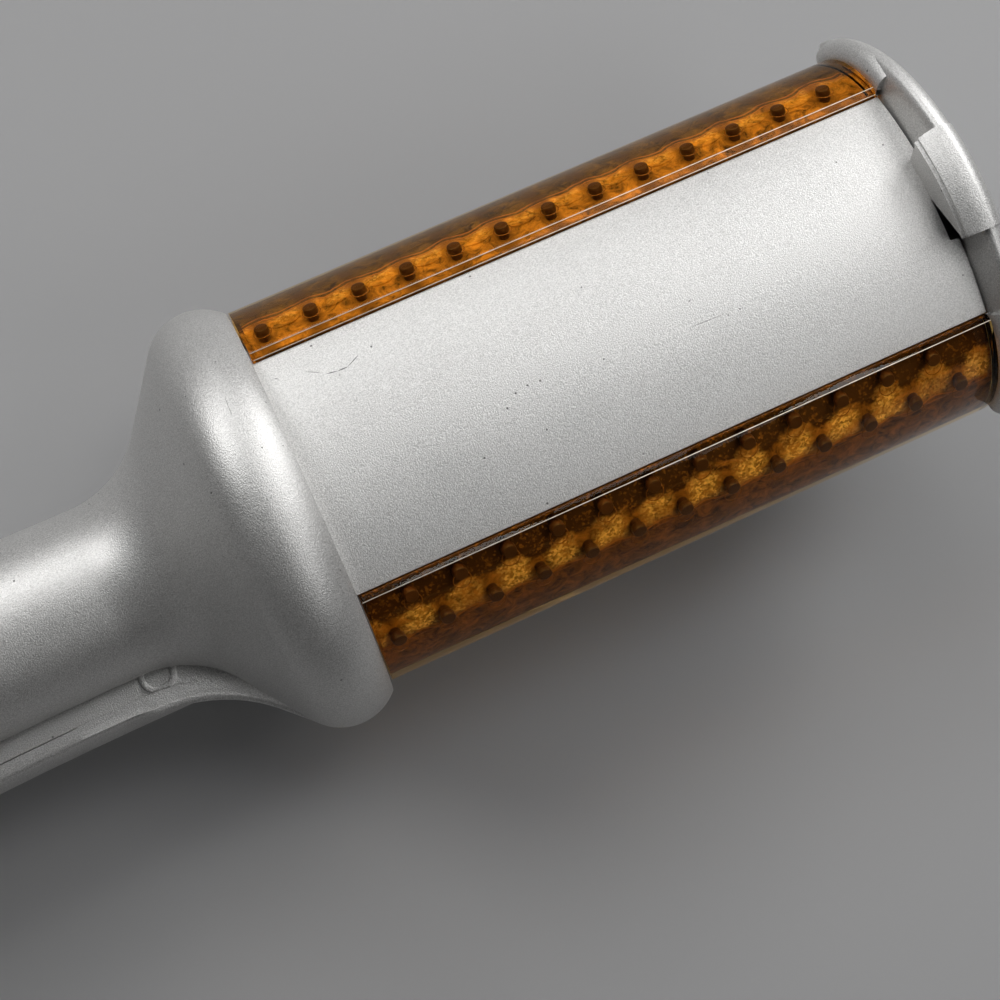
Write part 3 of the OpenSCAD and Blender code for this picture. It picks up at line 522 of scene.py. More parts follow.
@shader_group(
    "Amber bed",
    [("Honey", "Color", (0.4, 0.2, 0.05)), ("Gold", "Color", (0.9, 0.5, 0.1)),
     ("Umber", "Color", (0.03, 0.01, 0.005)), ("Outer", "Color", (0.1, 0.05, 0.02)),
     ("Contour", "Float", 30.0), ("Dark From", "Float", 50.0), ("Dark", "Float", 1.0),
     ("Glitter", "Float", 1.0), ("Pools", "Float", 0.0)],
    [("Colour", "Color"), ("Height", "Float")])
def bed_group(tree, honey, gold, umber, outer, contour, dark_from, dark, glints, tuft_shade):
    """The mottled bed under the amber, laid out by the strip's angle and the pitch of its tufts, with painted
    shade next to the cover and at the tufts, and painted glints between the tufts.
    """
    centre, size = strip_centre(), sizes()
    place = object_place(tree)
    part = put(tree, "SeparateXYZ", {0: place})
    side = sums("ABSOLUTE", part.at("Y")) - centre.y
    angle = sums("ARCTAN2", part.at("Z") - (AXIS + centre.z), side) * math.degrees(1)
    wave = sums("COSINE", (part.at("X") - (FACE + size.tuft_start)) * (math.tau / size.tuft_pitch))
    drift = noise(place, 170.0, 4.0, Roughness=0.6, Distortion=0.8)
    wander = drift.ramp(0.25, 0.75, -6.0, 6.0)
    bent = angle + wander
    grit = put(tree, "TexVoronoi", {"Vector": place, "Scale": 2800.0}).at("Color")
    spark = put(tree, "SeparateColor", {0: grit}).ramp(0.25, 0.95)
    stain = noise(place, 420.0, 5.0, Roughness=0.7, Distortion=1.2)
    veins = stain.ramp(0.34, 0.66, 0.15, 1.6)
    # Painted glints: gold sparkle between the tufts, in place of light caught in the bed
    band = angle.ramp(29.0, 33.0) * bent.ramp(50.0, 45.0) * wave.ramp(0.85, -0.2)
    glint_mask = band * (drift.ramp(0.42, 0.58, 0.25, 1.0) * glints) * spark.ramp(0.0, 1.0, 0.12, 1.0)
    golden = blend(glint_mask, scaled(honey, veins), gold)
    # Painted shade next to the cover, broken by flecks
    edge = bent - (wave * -2.5 + dark_from)
    fleck = (stain * spark).ramp(0.32, 0.52, 0.0, 0.5)
    shaded = blend(edge.ramp(-1.5, 2.0) * (dark * (1.0 - fleck)), golden, umber)
    # The scalloped outline on the outer side
    gap = wander * 0.25 + angle - (wave * -1.6 + contour)
    stained = blend(gap.ramp(0.4, -0.8), shaded, scaled(outer, veins))
    first = sums("ABSOLUTE", gap + 0.9).ramp(0.25, 0.8, 0.5, 0.0)
    second = sums("ABSOLUTE", gap + 4.2).ramp(0.3, 1.0, 0.4, 0.0)
    traced = blend(sums("MAXIMUM", first, second), stained, (0.55, 0.24, 0.05))
    # Painted shade at the tufts of the long row, broken up by a noise
    tuft_shadow = wave.ramp(0.1, 0.9) * tuft_shade * stain.ramp(0.40, 0.58)
    return blend(tuft_shadow, traced, umber), drift + spark * 0.15


def use_group(tree, group, **values):
    """A group with its inputs set."""
    node = tree.nodes.new("ShaderNodeGroup")
    node.node_tree = group
    plug(node, {name.replace("_", " "): value for name, value in values.items()})
    return Wire(node.outputs[0])


def feed(tree, shader, group, depth, **values):
    """Gives a shader a group's colour, roughness and height, and returns the colour."""
    source = use_group(tree, group, **values)
    normal = bump(source.at("Height"), depth)
    plug(shader, {"Base Color": source, "Roughness": source.at("Roughness"), "Normal": normal})
    return source


def as_material(wiring):
    """Turns a function that wires a shader into one that returns a named material, built only once."""
    def build(name, *values):
        if name not in bpy.data.materials:
            material = bpy.data.materials.new(name)
            material.use_nodes = True
            tree = material.node_tree
            wiring(tree, tree.nodes["Principled BSDF"], *values)
        return bpy.data.materials[name]
    return build


@as_material
def silver_paint(tree, shader, scratches=()):
    """Satin silver paint, with the scratches that a piece has."""
    plug(shader, {"Metallic": 0.72})
    paint = feed(
        tree, shader, flake_group(), 0.012 * MM, Colour=colours().silver, Flake=0.20 * MM, Contrast=0.24,
        Specks=0.8, Roughness=0.45)
    if scratches:
        lines = [use_group(tree, scratch_group(), From=a, To=b, Width=width) for a, b, width in scratches]
        mask = reduce(lambda a, b: sums("MAXIMUM", a, b), lines)
        plug(shader, {"Base Color": blend(mask, paint, (0.10, 0.10, 0.10))})


@as_material
def plastic(tree, shader, tint, rubbed, roughness):
    """Moulded plastic or rubber."""
    feed(
        tree, shader, moulded_group(), 0.006 * MM, Colour=tint, Grain=0.35 * MM, Variation=0.14,
        Rubbed=rubbed, Roughness=roughness)


@as_material
def metal(tree, shader, tint, density, roughness):
    """Metal with a visible lay."""
    plug(shader, {"Metallic": 1.0})
    feed(
        tree, shader, lay_group(), 0.002 * MM, Colour=tint, Density=density, Contrast=0.12,
        Roughness=roughness)


@as_material
def amber_glass(tree, shader):
    """Polished clear amber, which lets the lamps through to what lies in it."""
    tint = colours().amber
    plug(shader, {
        "Base Color": tint, "Transmission Weight": 1.0, "IOR": 1.21, "Specular IOR Level": 0.15,
        "Roughness": 0.01, "Normal": bump(noise(object_place(tree), 260.0, 1.0), 0.008 * MM)})
    clear = put(tree, "BsdfTransparent", {"Color": tint})
    shadow = put(tree, "LightPath").at("Is Shadow Ray")
    mix = put(tree, "MixShader", {0: shadow, 1: Wire(shader.outputs[0]), 2: clear})
    plug(tree.nodes["Material Output"], {"Surface": mix})


@as_material
def painted_highlight_finish(tree, shader):
    """Painted highlight on the polished edges of the amber: frosted by a noise and brighter towards the tip.
    """
    place = object_place(tree)
    fade = put(tree, "SeparateXYZ", {0: place}).ramp(FACE - 10 * MM, FACE + DRUM * 0.6, 0.35, 1.0)
    light = fade * noise(place, 900.0, 2.0).ramp(0.3, 0.6, 0.75, 1.0)
    plug(shader, {"Base Color": scaled((0.95, 0.82, 0.66), light), "Roughness": 0.25})


@as_material
def bed_finish(tree, shader, left):
    """The bed of one strip."""
    tint = colours()
    source = use_group(
        tree, bed_group(), Honey=tint.amber_bed if left else tint.honey, Gold=tint.gold, Umber=tint.umber,
        Outer=tint.olive if left else tint.tortoise, Contour=37.5 if left else 29.5,
        Dark_From=60.0 if left else 47.0, Dark=0.35 if left else 0.98, Glitter=0.35 if left else 1.2,
        Pools=0.75 if left else 0.2)
    plug(shader, {
        "Base Color": source, "Roughness": 0.5, "Specular IOR Level": 0.2,
        "Normal": bump(source.at("Height"), 0.08 * MM)})


@as_material
def floor_finish(tree, shader):
    """A plain pale table top with a very faint cloud in it."""
    tone = noise(object_place(tree), 9.0, 3.0).ramp(0.3, 0.7)
    plug(shader, {
        "Base Color": blend(tone, (0.303, 0.303, 0.306), (0.315, 0.315, 0.318)), "Roughness": 0.6})


# Shapes that several pieces share
def strip_centre():
    size = sizes()
    return Vector((0, size.strip_side, size.strip_lift))


def on_strip(radius, angle, x=0.0):
    """A point of the left strip's curve."""
    centre = strip_centre()
    return spot(x, centre.y + radius * math.cos(angle), centre.z + radius * math.sin(angle))


def steps_between(a, b, count):
    return [a + (b - a) * i / count for i in range(count + 1)]


def arc_band(name, outer, inner, low, high, x, steps=28):
    """A curved bar of the left strip, between two radii and two angles."""
    angles = steps_between(low, high, steps)
    points = [on_strip(outer, a, x[0]) for a in angles]
    points += [on_strip(inner, a, x[0]) for a in reversed(angles)]
    return bar(name, points, Vector((x[1] - x[0], 0, 0)))


def reach(angle, radius):
    """How far from the barrel's axis a ray at an angle meets a circle of the strip's curve."""
    centre = strip_centre()
    b = centre.y * math.cos(angle) + centre.z * math.sin(angle)
    return b + math.sqrt(b * b - centre.y ** 2 - centre.z ** 2 + radius * radius)


def on_ray(x, angle, out):
    return spot(x, out * math.cos(angle), out * math.sin(angle))


def tufts(left):
    """Places of a strip's tufts as (x, angle, is the outer row)."""
    size = sizes()
    long_row, short_row = (size.row_near_left, size.row_far) if left else (size.row_far, size.row_near)
    places = [(size.tuft_start + size.tuft_pitch * i, long_row, not left) for i in range(size.tuft_count)]
    places += [
        (size.tuft_start + size.tuft_pitch * (i + 0.5), short_row, left) for i in range(size.tuft_count - 1)]
    return places


def to_right(piece):
    """Mirrors a piece of the left strip to the right one."""
    only(piece)
    with editing(piece, "VERT"):
        bpy.ops.transform.resize(value=(1, -1, 1), center_override=(0, 0, 0))
        bpy.ops.mesh.flip_normals()
    return piece


def bell_profile(neck, flank, cove, wall=0.0, steps=26):
    """The bell from its front face to the neck, as (x, radius), drawn in by a wall."""
    size = sizes()
    rim, depth = size.rim_round - wall, size.rim_depth
    crest = size.rim_radius - size.rim_round
    start = math.acos((depth - wall) / rim)
    tangent_x = -depth - rim * math.sin(flank)
    tangent_r = crest + rim * math.cos(flank)
    bow = cove + wall
    rise = neck - wall + bow * (1 - math.cos(flank)) - tangent_r
    cove_x = tangent_x - bow * math.sin(flank) + rise / math.tan(flank)
    points = [
        (-depth + rim * math.cos(a), crest + rim * math.sin(a))
        for a in steps_between(start, math.pi / 2 + flank, steps)]
    points += [
        (cove_x + bow * math.sin(a), neck - wall + bow * (1 - math.cos(a)))
        for a in steps_between(flank, 0, steps)]
    return points


def half_width(radius, height):
    """Half the width of a circle at a height."""
    return math.sqrt(max(radius ** 2 - height ** 2, 0))


def crown(x, radius, centre, half, steps):
    """An arc from side to side above the barrel, about a centre at a height."""
    return [
        spot(x, radius * math.sin(a), centre + radius * math.cos(a))
        for a in steps_between(-half, half, steps)]


def swell(a, b, share):
    """A smooth rise from a to b."""
    return a + (b - a) * (1 - math.cos(math.pi * share)) / 2


UPPER_NECK = 13.6 * MM
UPPER_FLANK = math.radians(54.5)
UPPER_COVE = 16 * MM
UPPER_GRIP = 15.6 * MM
UPPER_SWELL = -115 * MM
UPPER_END = -HINGE_BACK + 8 * MM
UPPER_ROUND = 4 * MM
# Reach of the cuts through the front face of the bell
FACE_CUT = (-4 * MM, 2 * MM)


def upper_profile():
    """The upper casing's outside, from the middle of its face to its end."""
    bell = bell_profile(UPPER_NECK, UPPER_FLANK, UPPER_COVE)
    neck_x = bell[-1][0]
    grip = [
        (neck_x + (UPPER_SWELL - neck_x) * u, swell(UPPER_NECK, UPPER_GRIP, u))
        for u in steps_between(0, 1, 24)[1:]]
    end = [
        (UPPER_END + UPPER_ROUND * (1 - math.sin(a)), UPPER_GRIP - UPPER_ROUND * (1 - math.cos(a)))
        for a in steps_between(0, math.pi / 2, 10)]
    return [(0.0, 0.0)] + bell + grip + end + [(UPPER_END, 0.0)]


def marks(places):
    """Scratches in the frame, from places in mm."""
    return [(spot(*(c * MM for c in a)), spot(*(c * MM for c in b)), width * MM) for a, b, width in places]


class BRUSH_OT_stage(bpy.types.Operator):
    """Add the table, the soft lamps and the camera at the photograph's angle"""

    bl_idname = "brush.stage"
    bl_label = "Stage"

    CAMERA_SPOT = (0.040703, -0.041519, 0.300732)
    CAMERA_RIGHT = (0.90515, -0.41914, 0.07084)
    CAMERA_UP = (0.40536, 0.90125, 0.15307)
    LENS = 63.857
    LAMP_DISTANCE = 1.1
    LAMP_SIZE = 0.45
    # Name, height angle, direction angle from X, watts
    LAMPS = (
        ("Low right lamp", 28, 30, 4.9),
        ("Left lamp", 45, 120, 4.4),
        ("Right lamp", 45, 0, 1.7),
        ("Top lamp", 65, 30, 1.9),
        ("Back lamp", 35, 80, 2.0),
        ("Fill lamp", 48, -50, 1.4),
    )

    def execute(self, context):
        self.camera(context)
        for name, height, turn, watts in self.LAMPS:
            self.lamp(name, height, turn, watts, self.LAMP_SIZE)
        self.table()
        self.surroundings(context)
        return {"FINISHED"}

    def camera(self, context):
        data = bpy.data.cameras.new("Photo camera")
        data.lens, data.sensor_width = self.LENS, 36
        data.clip_start = 0.01
        camera = bpy.data.objects.new("Photo camera", data)
        context.scene.collection.objects.link(camera)
        right, up = Vector(self.CAMERA_RIGHT), Vector(self.CAMERA_UP)
        turn = Matrix((right, up, right.cross(up))).transposed()
        camera.matrix_world = Matrix.Translation(self.CAMERA_SPOT) @ turn.to_4x4()
        context.scene.camera = camera

    def lamp(self, name, height, turn, watts, size):
        """A square lamp that looks at the brush from two angles in degrees."""
        data = bpy.data.lights.new(name, "AREA")
        data.shape, data.size, data.energy = "SQUARE", size, watts
        lamp = bpy.data.objects.new(name, data)
        bpy.context.scene.collection.objects.link(lamp)
        h, a = math.radians(height), math.radians(turn)
        aim = Vector((0, 0, AXIS))
        away = Vector((math.cos(h) * math.cos(a), math.cos(h) * math.sin(a), math.sin(h)))
        lamp.location = aim + away * self.LAMP_DISTANCE
        lamp.rotation_euler = away.to_track_quat("Z", "Y").to_euler()

    def table(self):
        floor = add("plane", "Table", size=6.0)
        with editing(floor):
            bpy.ops.mesh.subdivide(number_cuts=3)
        floor.data.materials.append(floor_finish("Pale table"))

    def surroundings(self, context):
        world = bpy.data.worlds.new("Soft room")
        world.use_nodes = True
        tree = world.node_tree
        background = tree.nodes["Background"]
        place = put(tree, "TexCoord").at("Generated")
        tone = put(tree, "SeparateXYZ", {0: place}).at("Z").ramp(-0.2, 1.0)
        plug(background, {"Color": blend(tone, (0.30, 0.30, 0.31), (0.62, 0.62, 0.62)), "Strength": 0.03})
        context.scene.world = world
        context.scene.view_settings.view_transform = "Standard"
        context.scene.view_settings.look = "None"


class BRUSH_OT_cover(bpy.types.Operator):
    """Add the curved silver cover with its notch, its screw bosses and its scratches"""

    bl_idname = "brush.cover"
    bl_label = "Cover"

    FIT = 0.15 * MM
    NOTCH = 1.2 * MM
    NOTCH_HALF = 6.3 * MM
    NOTCH_CUT = (20 * MM, 30 * MM)
    ROUND = 0.22 * MM
    BOSS = 2.6 * MM
    BOSS_SINK = 0.4 * MM
    BOSS_PLACES = (20 * MM, 58 * MM, 96 * MM)
    BOSS_LOW = 23.02 * MM
    # Fine scratches as two places in mm and a width
    MARKS = (
        ((14.4, 12.9, 24.1), (12.1, 11.8, 24.4), 0.09), ((12.1, 11.8, 24.4), (10.6, 11.8, 24.4), 0.12),
        ((10.6, 11.8, 24.4), (9.0, 12.1, 24.3), 0.10), ((6.4, 13.7, 23.8), (8.9, 12.3, 24.3), 0.06),
        ((2.0, 14.6, 23.5), (2.7, 14.2, 23.6), 0.08), ((58.6, -3.0, 25.9), (64.5, -3.2, 25.9), 0.05),
        ((60.1, 0.4, 26.0), (60.6, 0.7, 26.0), 0.08), ((94.3, 2.9, 25.9), (93.9, -2.7, 25.9), 0.045))

    def edge_point(self, radius):
        """Where the cover's curve meets the plane of the strip's cover end, in (y, z)."""
        size = sizes()
        run = Vector((math.cos(size.strip_high), math.sin(size.strip_high)))
        side = Vector((-run.y, run.x))
        foot = Vector((size.strip_side, size.strip_lift)) + side * self.FIT
        centre = Vector((0, size.cover_crown - size.cover_radius))
        away = foot - centre
        b = away.dot(run)
        return foot + run * (-b + math.sqrt(b * b - away.length_squared + radius * radius))

    def band(self, radius, x):
        size = sizes()
        centre = size.cover_crown - size.cover_radius
        edge = self.edge_point(radius)
        return crown(x, radius, centre, math.atan2(edge.x, edge.y - centre), 56)

    def execute(self, context):
        size = sizes()
        outer = self.band(size.cover_radius, SHUT)
        inner = self.band(size.cover_radius - size.cover_wall, SHUT)
        cover = bar("cover", [*outer, *reversed(inner)], Vector((DRUM - 2 * SHUT, 0, 0)))
        x, half = (DRUM - self.NOTCH, DRUM + MM), self.NOTCH_HALF
        cut(cover, block("notch", x, (-half, half), self.NOTCH_CUT))
        soften(cover, self.ROUND, angle=40, segments=3)
        under = size.cover_crown - size.cover_wall + self.BOSS_SINK
        bosses = [
            rod("boss", spot(x, 0, self.BOSS_LOW), spot(x, 0, under), self.BOSS) for x in self.BOSS_PLACES]
        fuse(cover, *bosses)
        polish(cover)
        paint = silver_paint("Cover paint", marks(self.MARKS))
        settle(cover, "brush_arm", paint, "silver_shell", "brush_cover")
        return {"FINISHED"}


class BRUSH_OT_strips(bpy.types.Operator):
    """Add the two amber bristle strips, each a clear bar over a coloured bed with painted shade and painted
    glints, with polished edges and painted highlight lines beside the cover
    """

    bl_idname = "brush.strips"
    bl_label = "Amber strips"

    BED_TOP = 15.3 * MM
    TERRACE_TOP = 15.8 * MM
    TERRACE_LOW = math.radians(27)
    TERRACE_HIGH = math.radians(63)
    LINING_SINK = 0.95 * MM
    LINING = (math.radians(-1.6), math.radians(-0.4))
    BED_MARGIN = math.radians(1.2)
    RING = 3.3 * MM
    RING_SINK = 0.3 * MM
    CHAMFER = 0.8 * MM
    EDGE = 0.09 * MM
    # Radius of the rods that carry the painted highlight lines
    LINE = 0.075 * MM

    def clear_bar(self, name):
        size = sizes()
        inner = self.BED_TOP - 0.3 * MM
        high = size.strip_high - self.CHAMFER / size.strip_radius
        angles = steps_between(size.strip_low, high, 40)
        points = [on_strip(size.strip_radius, a, SEAM) for a in angles]
        points.append(on_strip(size.strip_radius - self.CHAMFER, size.strip_high, SEAM))
        points += [on_strip(inner, a, SEAM) for a in steps_between(size.strip_high, size.strip_low, 28)]
        piece = bar(name, points, Vector((DRUM - 2 * SEAM, 0, 0)))
        return polish(soften(piece, self.EDGE, angle=25, segments=2), 30)

    def bed(self, name, left):
        size = sizes()
        inner = size.strip_radius - size.strip_wall
        low, high = size.strip_low + self.BED_MARGIN, size.strip_high - self.BED_MARGIN
        ends = (SEAM + 0.2 * MM, DRUM - SEAM - 0.2 * MM)
        piece = arc_band(name, self.BED_TOP, inner, low, high, ends)
        terrace = arc_band(
            "terrace", self.TERRACE_TOP, inner + MM, self.TERRACE_LOW, self.TERRACE_HIGH,
            (ends[0] + 0.6 * MM, ends[1] - 0.6 * MM))
        # A thin wall of the bed under the cover-side chamfer, which takes the bed's painted shade
        low, high = (size.strip_high + turn for turn in self.LINING)
        lining = arc_band(
            "lining", size.strip_radius - self.LINING_SINK, inner + MM, low, high,
            (ends[0] + 0.3 * MM, ends[1] - 0.3 * MM), steps=1)
        rings = [
            rod("ring", on_ray(x, angle, reach(angle, inner) + 0.5 * MM),
                on_ray(x, angle, reach(angle, self.TERRACE_TOP) - self.RING_SINK), self.RING, sides=40)
            for x, angle, outer in tufts(left) if outer]
        fuse(piece, terrace, lining, *rings)
        slice_flat(piece, spot(ends[0], 0, 0), (-1, 0, 0))
        slice_flat(piece, spot(ends[1], 0, 0), (1, 0, 0))
        soften(piece, 0.12 * MM, angle=35, segments=2)
        return polish(piece)

    def edges(self, name, count):
        """Thin rods along the polished edges beside the cover, which carry a painted highlight."""
        size = sizes()
        places = (
            (size.strip_radius, size.strip_high - self.CHAMFER / size.strip_radius),
            (size.strip_radius - self.CHAMFER, size.strip_high))[:count]
        sink, end = self.LINE * 0.6, 1.2 * SEAM
        piece = join([
            rod("line", on_strip(r - sink, a, end), on_strip(r - sink, a, DRUM - end), self.LINE, sides=12)
            for r, a in places])
        piece.name = name
        return polish(piece, 60)

    def execute(self, context):
        for side, left in (("left", True), ("right", False)):
            glass = self.clear_bar(f"amber_bar_{side}")
            bed = self.bed(f"amber_bed_{side}", left)
            # Painted highlight lines: bright rods just under the edges beside the cover
            lines = self.edges(f"amber_painted_highlights_{side}", 2 if left else 1)
            if not left:
                for piece in (glass, bed, lines):
                    to_right(piece)
            settle(glass, "brush_arm", amber_glass("Clear amber"), "amber_strip", f"holder_{side}")
            settle(bed, "brush_arm", bed_finish(f"Amber bed {side}", left), "amber_strip")
            settle(lines, "brush_arm", painted_highlight_finish("Amber painted highlights"), "amber_strip")
        return {"FINISHED"}


class BRUSH_OT_tufts(bpy.types.Operator):
    """Add the dark tuft roots with their sockets, and the tapered bristles of both strips"""

    bl_idname = "brush.tufts"
    bl_label = "Tufts"

    ROOT_TOP = 18.2 * MM
    HIDDEN_TOP = 15.0 * MM
    CAP = 1.35 * MM
    STEM = 0.85 * MM
    SOCKET = 1.36 * MM
    SOCKET_DEPTH = 0.95 * MM
    # How far the edge of a socket lies to the outer side, and to the cover's side in the left strip
    SOCKET_SLIP = 1.0 * MM
    SOCKET_SLIP_LEFT = -0.2 * MM
    SOCKET_WIRE = 0.075 * MM
    FOOT_SPREAD = 0.72 * MM
    TIP_SPREAD = 1.25 * MM
    PIN = 0.24 * MM
    PIN_TIP = 0.11 * MM
    CLEAR = 1.2 * MM
    FOOT_SINK = 0.3 * MM

    def top(self, left, outer):
        return self.HIDDEN_TOP if left and outer else self.ROOT_TOP

    def root(self, x, angle, inner, top):
        size = sizes()
        foot, high = reach(angle, inner) + self.FOOT_SINK, reach(angle, top)
        cap = rod(
            "cap", on_ray(x, angle, high - self.CAP), on_ray(x, angle, high), size.peg_radius,
            size.peg_radius * 0.94, sides=24)
        stem = rod("stem", on_ray(x, angle, foot), on_ray(x, angle, high - self.CAP / 2), self.STEM, sides=16)
        return join([soften(cap, 0.12 * MM, angle=50), stem])

    def socket(self, x, angle, top, slip):
        """The round edge of the socket around a root."""
        place = on_ray(x, angle - slip / top, reach(angle, top) - self.SOCKET_DEPTH)
        turn = Vector((0, math.cos(angle), math.sin(angle))).to_track_quat("Z", "Y").to_euler()
        return add(
            "torus", "socket", major_radius=self.SOCKET, minor_radius=self.SOCKET_WIRE, major_segments=40,
            minor_segments=8, location=place, rotation=turn)

    def pin(self, x, angle, k, inner):
        size = sizes()
        along = Vector((0, math.cos(angle), math.sin(angle)))
        aside = Vector((0, -math.sin(angle), math.cos(angle)))
        turn = math.tau * k / (size.bristles - 1)
        lean = Vector((math.cos(turn), 0, 0)) + aside * math.sin(turn) if k else Vector()
        foot = spot(x, 0, 0) + along * (reach(angle, inner) + self.FOOT_SINK) + lean * self.FOOT_SPREAD
        tip = spot(x, 0, 0) + along * (size.barrel_radius + self.CLEAR) + lean * self.TIP_SPREAD
        return rod("pin", foot, tip, self.PIN, self.PIN_TIP, sides=6)

    def execute(self, context):
        size, tint = sizes(), colours()
        inner = size.strip_radius - size.strip_wall
        peg_finish = plastic("Tuft roots", tint.peg, (0.08, 0.034, 0.014), 0.35)
        socket_finish = plastic("Sockets", tint.socket, (0.62, 0.36, 0.16), 0.2)
        pin_finish = plastic("Nylon", tint.nylon, (0.05, 0.045, 0.045), 0.38)
        for side, left in (("left", True), ("right", False)):
            places = tufts(left)
            roots = join([self.root(x, angle, inner, self.top(left, outer)) for x, angle, outer in places])
            sockets = join([
                self.socket(x, angle, self.ROOT_TOP, self.SOCKET_SLIP_LEFT if left else self.SOCKET_SLIP)
                for x, angle, outer in places if not (left and outer)])
            pins = join([
                self.pin(x, angle, k, inner) for x, angle, outer in places for k in range(size.bristles)])
            roots.name, pins.name = f"tuft_pegs_{side}", f"bristle_pins_{side}"
            sockets.name = f"tuft_sockets_{side}"
            for piece in (roots, sockets, pins):
                if not left:
                    to_right(piece)
                polish(piece, 50)
            settle(roots, "brush_arm", peg_finish, "tuft_root", f"tuft_roots_{side}")
            settle(sockets, "brush_arm", socket_finish, "amber_strip")
            settle(pins, "brush_arm", pin_finish, "bristle", f"bristles_{side}")
        return {"FINISHED"}


class BRUSH_OT_upper_shell(bpy.types.Operator):
    """Add the upper casing: half of the bell and the upper handle, with its wall and posts"""

    bl_idname = "brush.upper_shell"
    bl_label = "Upper shell"

    JOURNAL_HOLE = 9 * MM
    TONGUE_HALF = 8.3 * MM
    TONGUE = (20.5 * MM, 23.3 * MM)
    HINGE_SLOT = (8.3 * MM, 5.4 * MM)
    POST = 2.4 * MM
    FRONT_POST = (-8 * MM, 5 * MM)
    POST_ENDS = (23.02 * MM, 31.6 * MM)
    TAIL_CUT = (-2 * MM, 4 * MM)
    ROUND = 0.3 * MM
    # Fine scratches and nicks as two places in mm and a width
    MARKS = (
        ((-16.7, -24.1, 5.9), (-14.5, -23.7, 14.8), 0.07), ((-14.5, -23.7, 14.8), (-11.2, -23.5, 21.7), 0.06),
        ((-11.2, -23.5, 21.7), (-9.7, -21.8, 24.7), 0.04), ((-22.6, -17.5, 1.1), (-22.5, -17.3, 1.6), 0.20),
        ((-3.6, 4.3, 33.2), (-3.6, 4.5, 33.2), 0.22), ((-0.9, 3.7, 31.9), (-0.9, 3.8, 31.9), 0.22),
        ((-0.6, 10.5, 30.0), (-0.5, 10.6, 30.0), 0.18), ((-5.4, 13.2, 31.1), (-5.5, 10.0, 32.3), 0.045),
        ((-6.1, 7.0, 33.0), (-6.0, 3.1, 33.7), 0.04))

    def execute(self, context):
        size = sizes()
        shell = lathe("upper_shell", upper_profile(), turn=math.pi, steps=112)
        modify(shell, "SOLIDIFY", thickness=size.casing_wall, offset=-1, use_even_offset=True, use_rim=True)
        back, front = FACE_CUT
        hole = rod("hole", spot(back, 0, 0), spot(front, 0, 0), self.JOURNAL_HOLE, sides=64)
        slot = block("slot", FACE_CUT, (-self.TONGUE_HALF, self.TONGUE_HALF), self.TONGUE)
        half, top = self.HINGE_SLOT
        tail = block("tail", [UPPER_END + x for x in self.TAIL_CUT], (-half, half), (-MM, top))
        cut(shell, hole, slot, tail)
        soften(shell, self.ROUND, angle=40, segments=3)
        (x, y), (low, high) = self.FRONT_POST, self.POST_ENDS
        posts = [
            rod("post", spot(x, side * y, low), spot(x, side * y, high), self.POST) for side in (-1, 1)]
        shell = join([shell, *posts])
        polish(shell)
        paint = silver_paint("Bell paint", marks(self.MARKS))
        settle(shell, "brush_arm", paint, "silver_shell", "upper_casing")
        return {"FINISHED"}


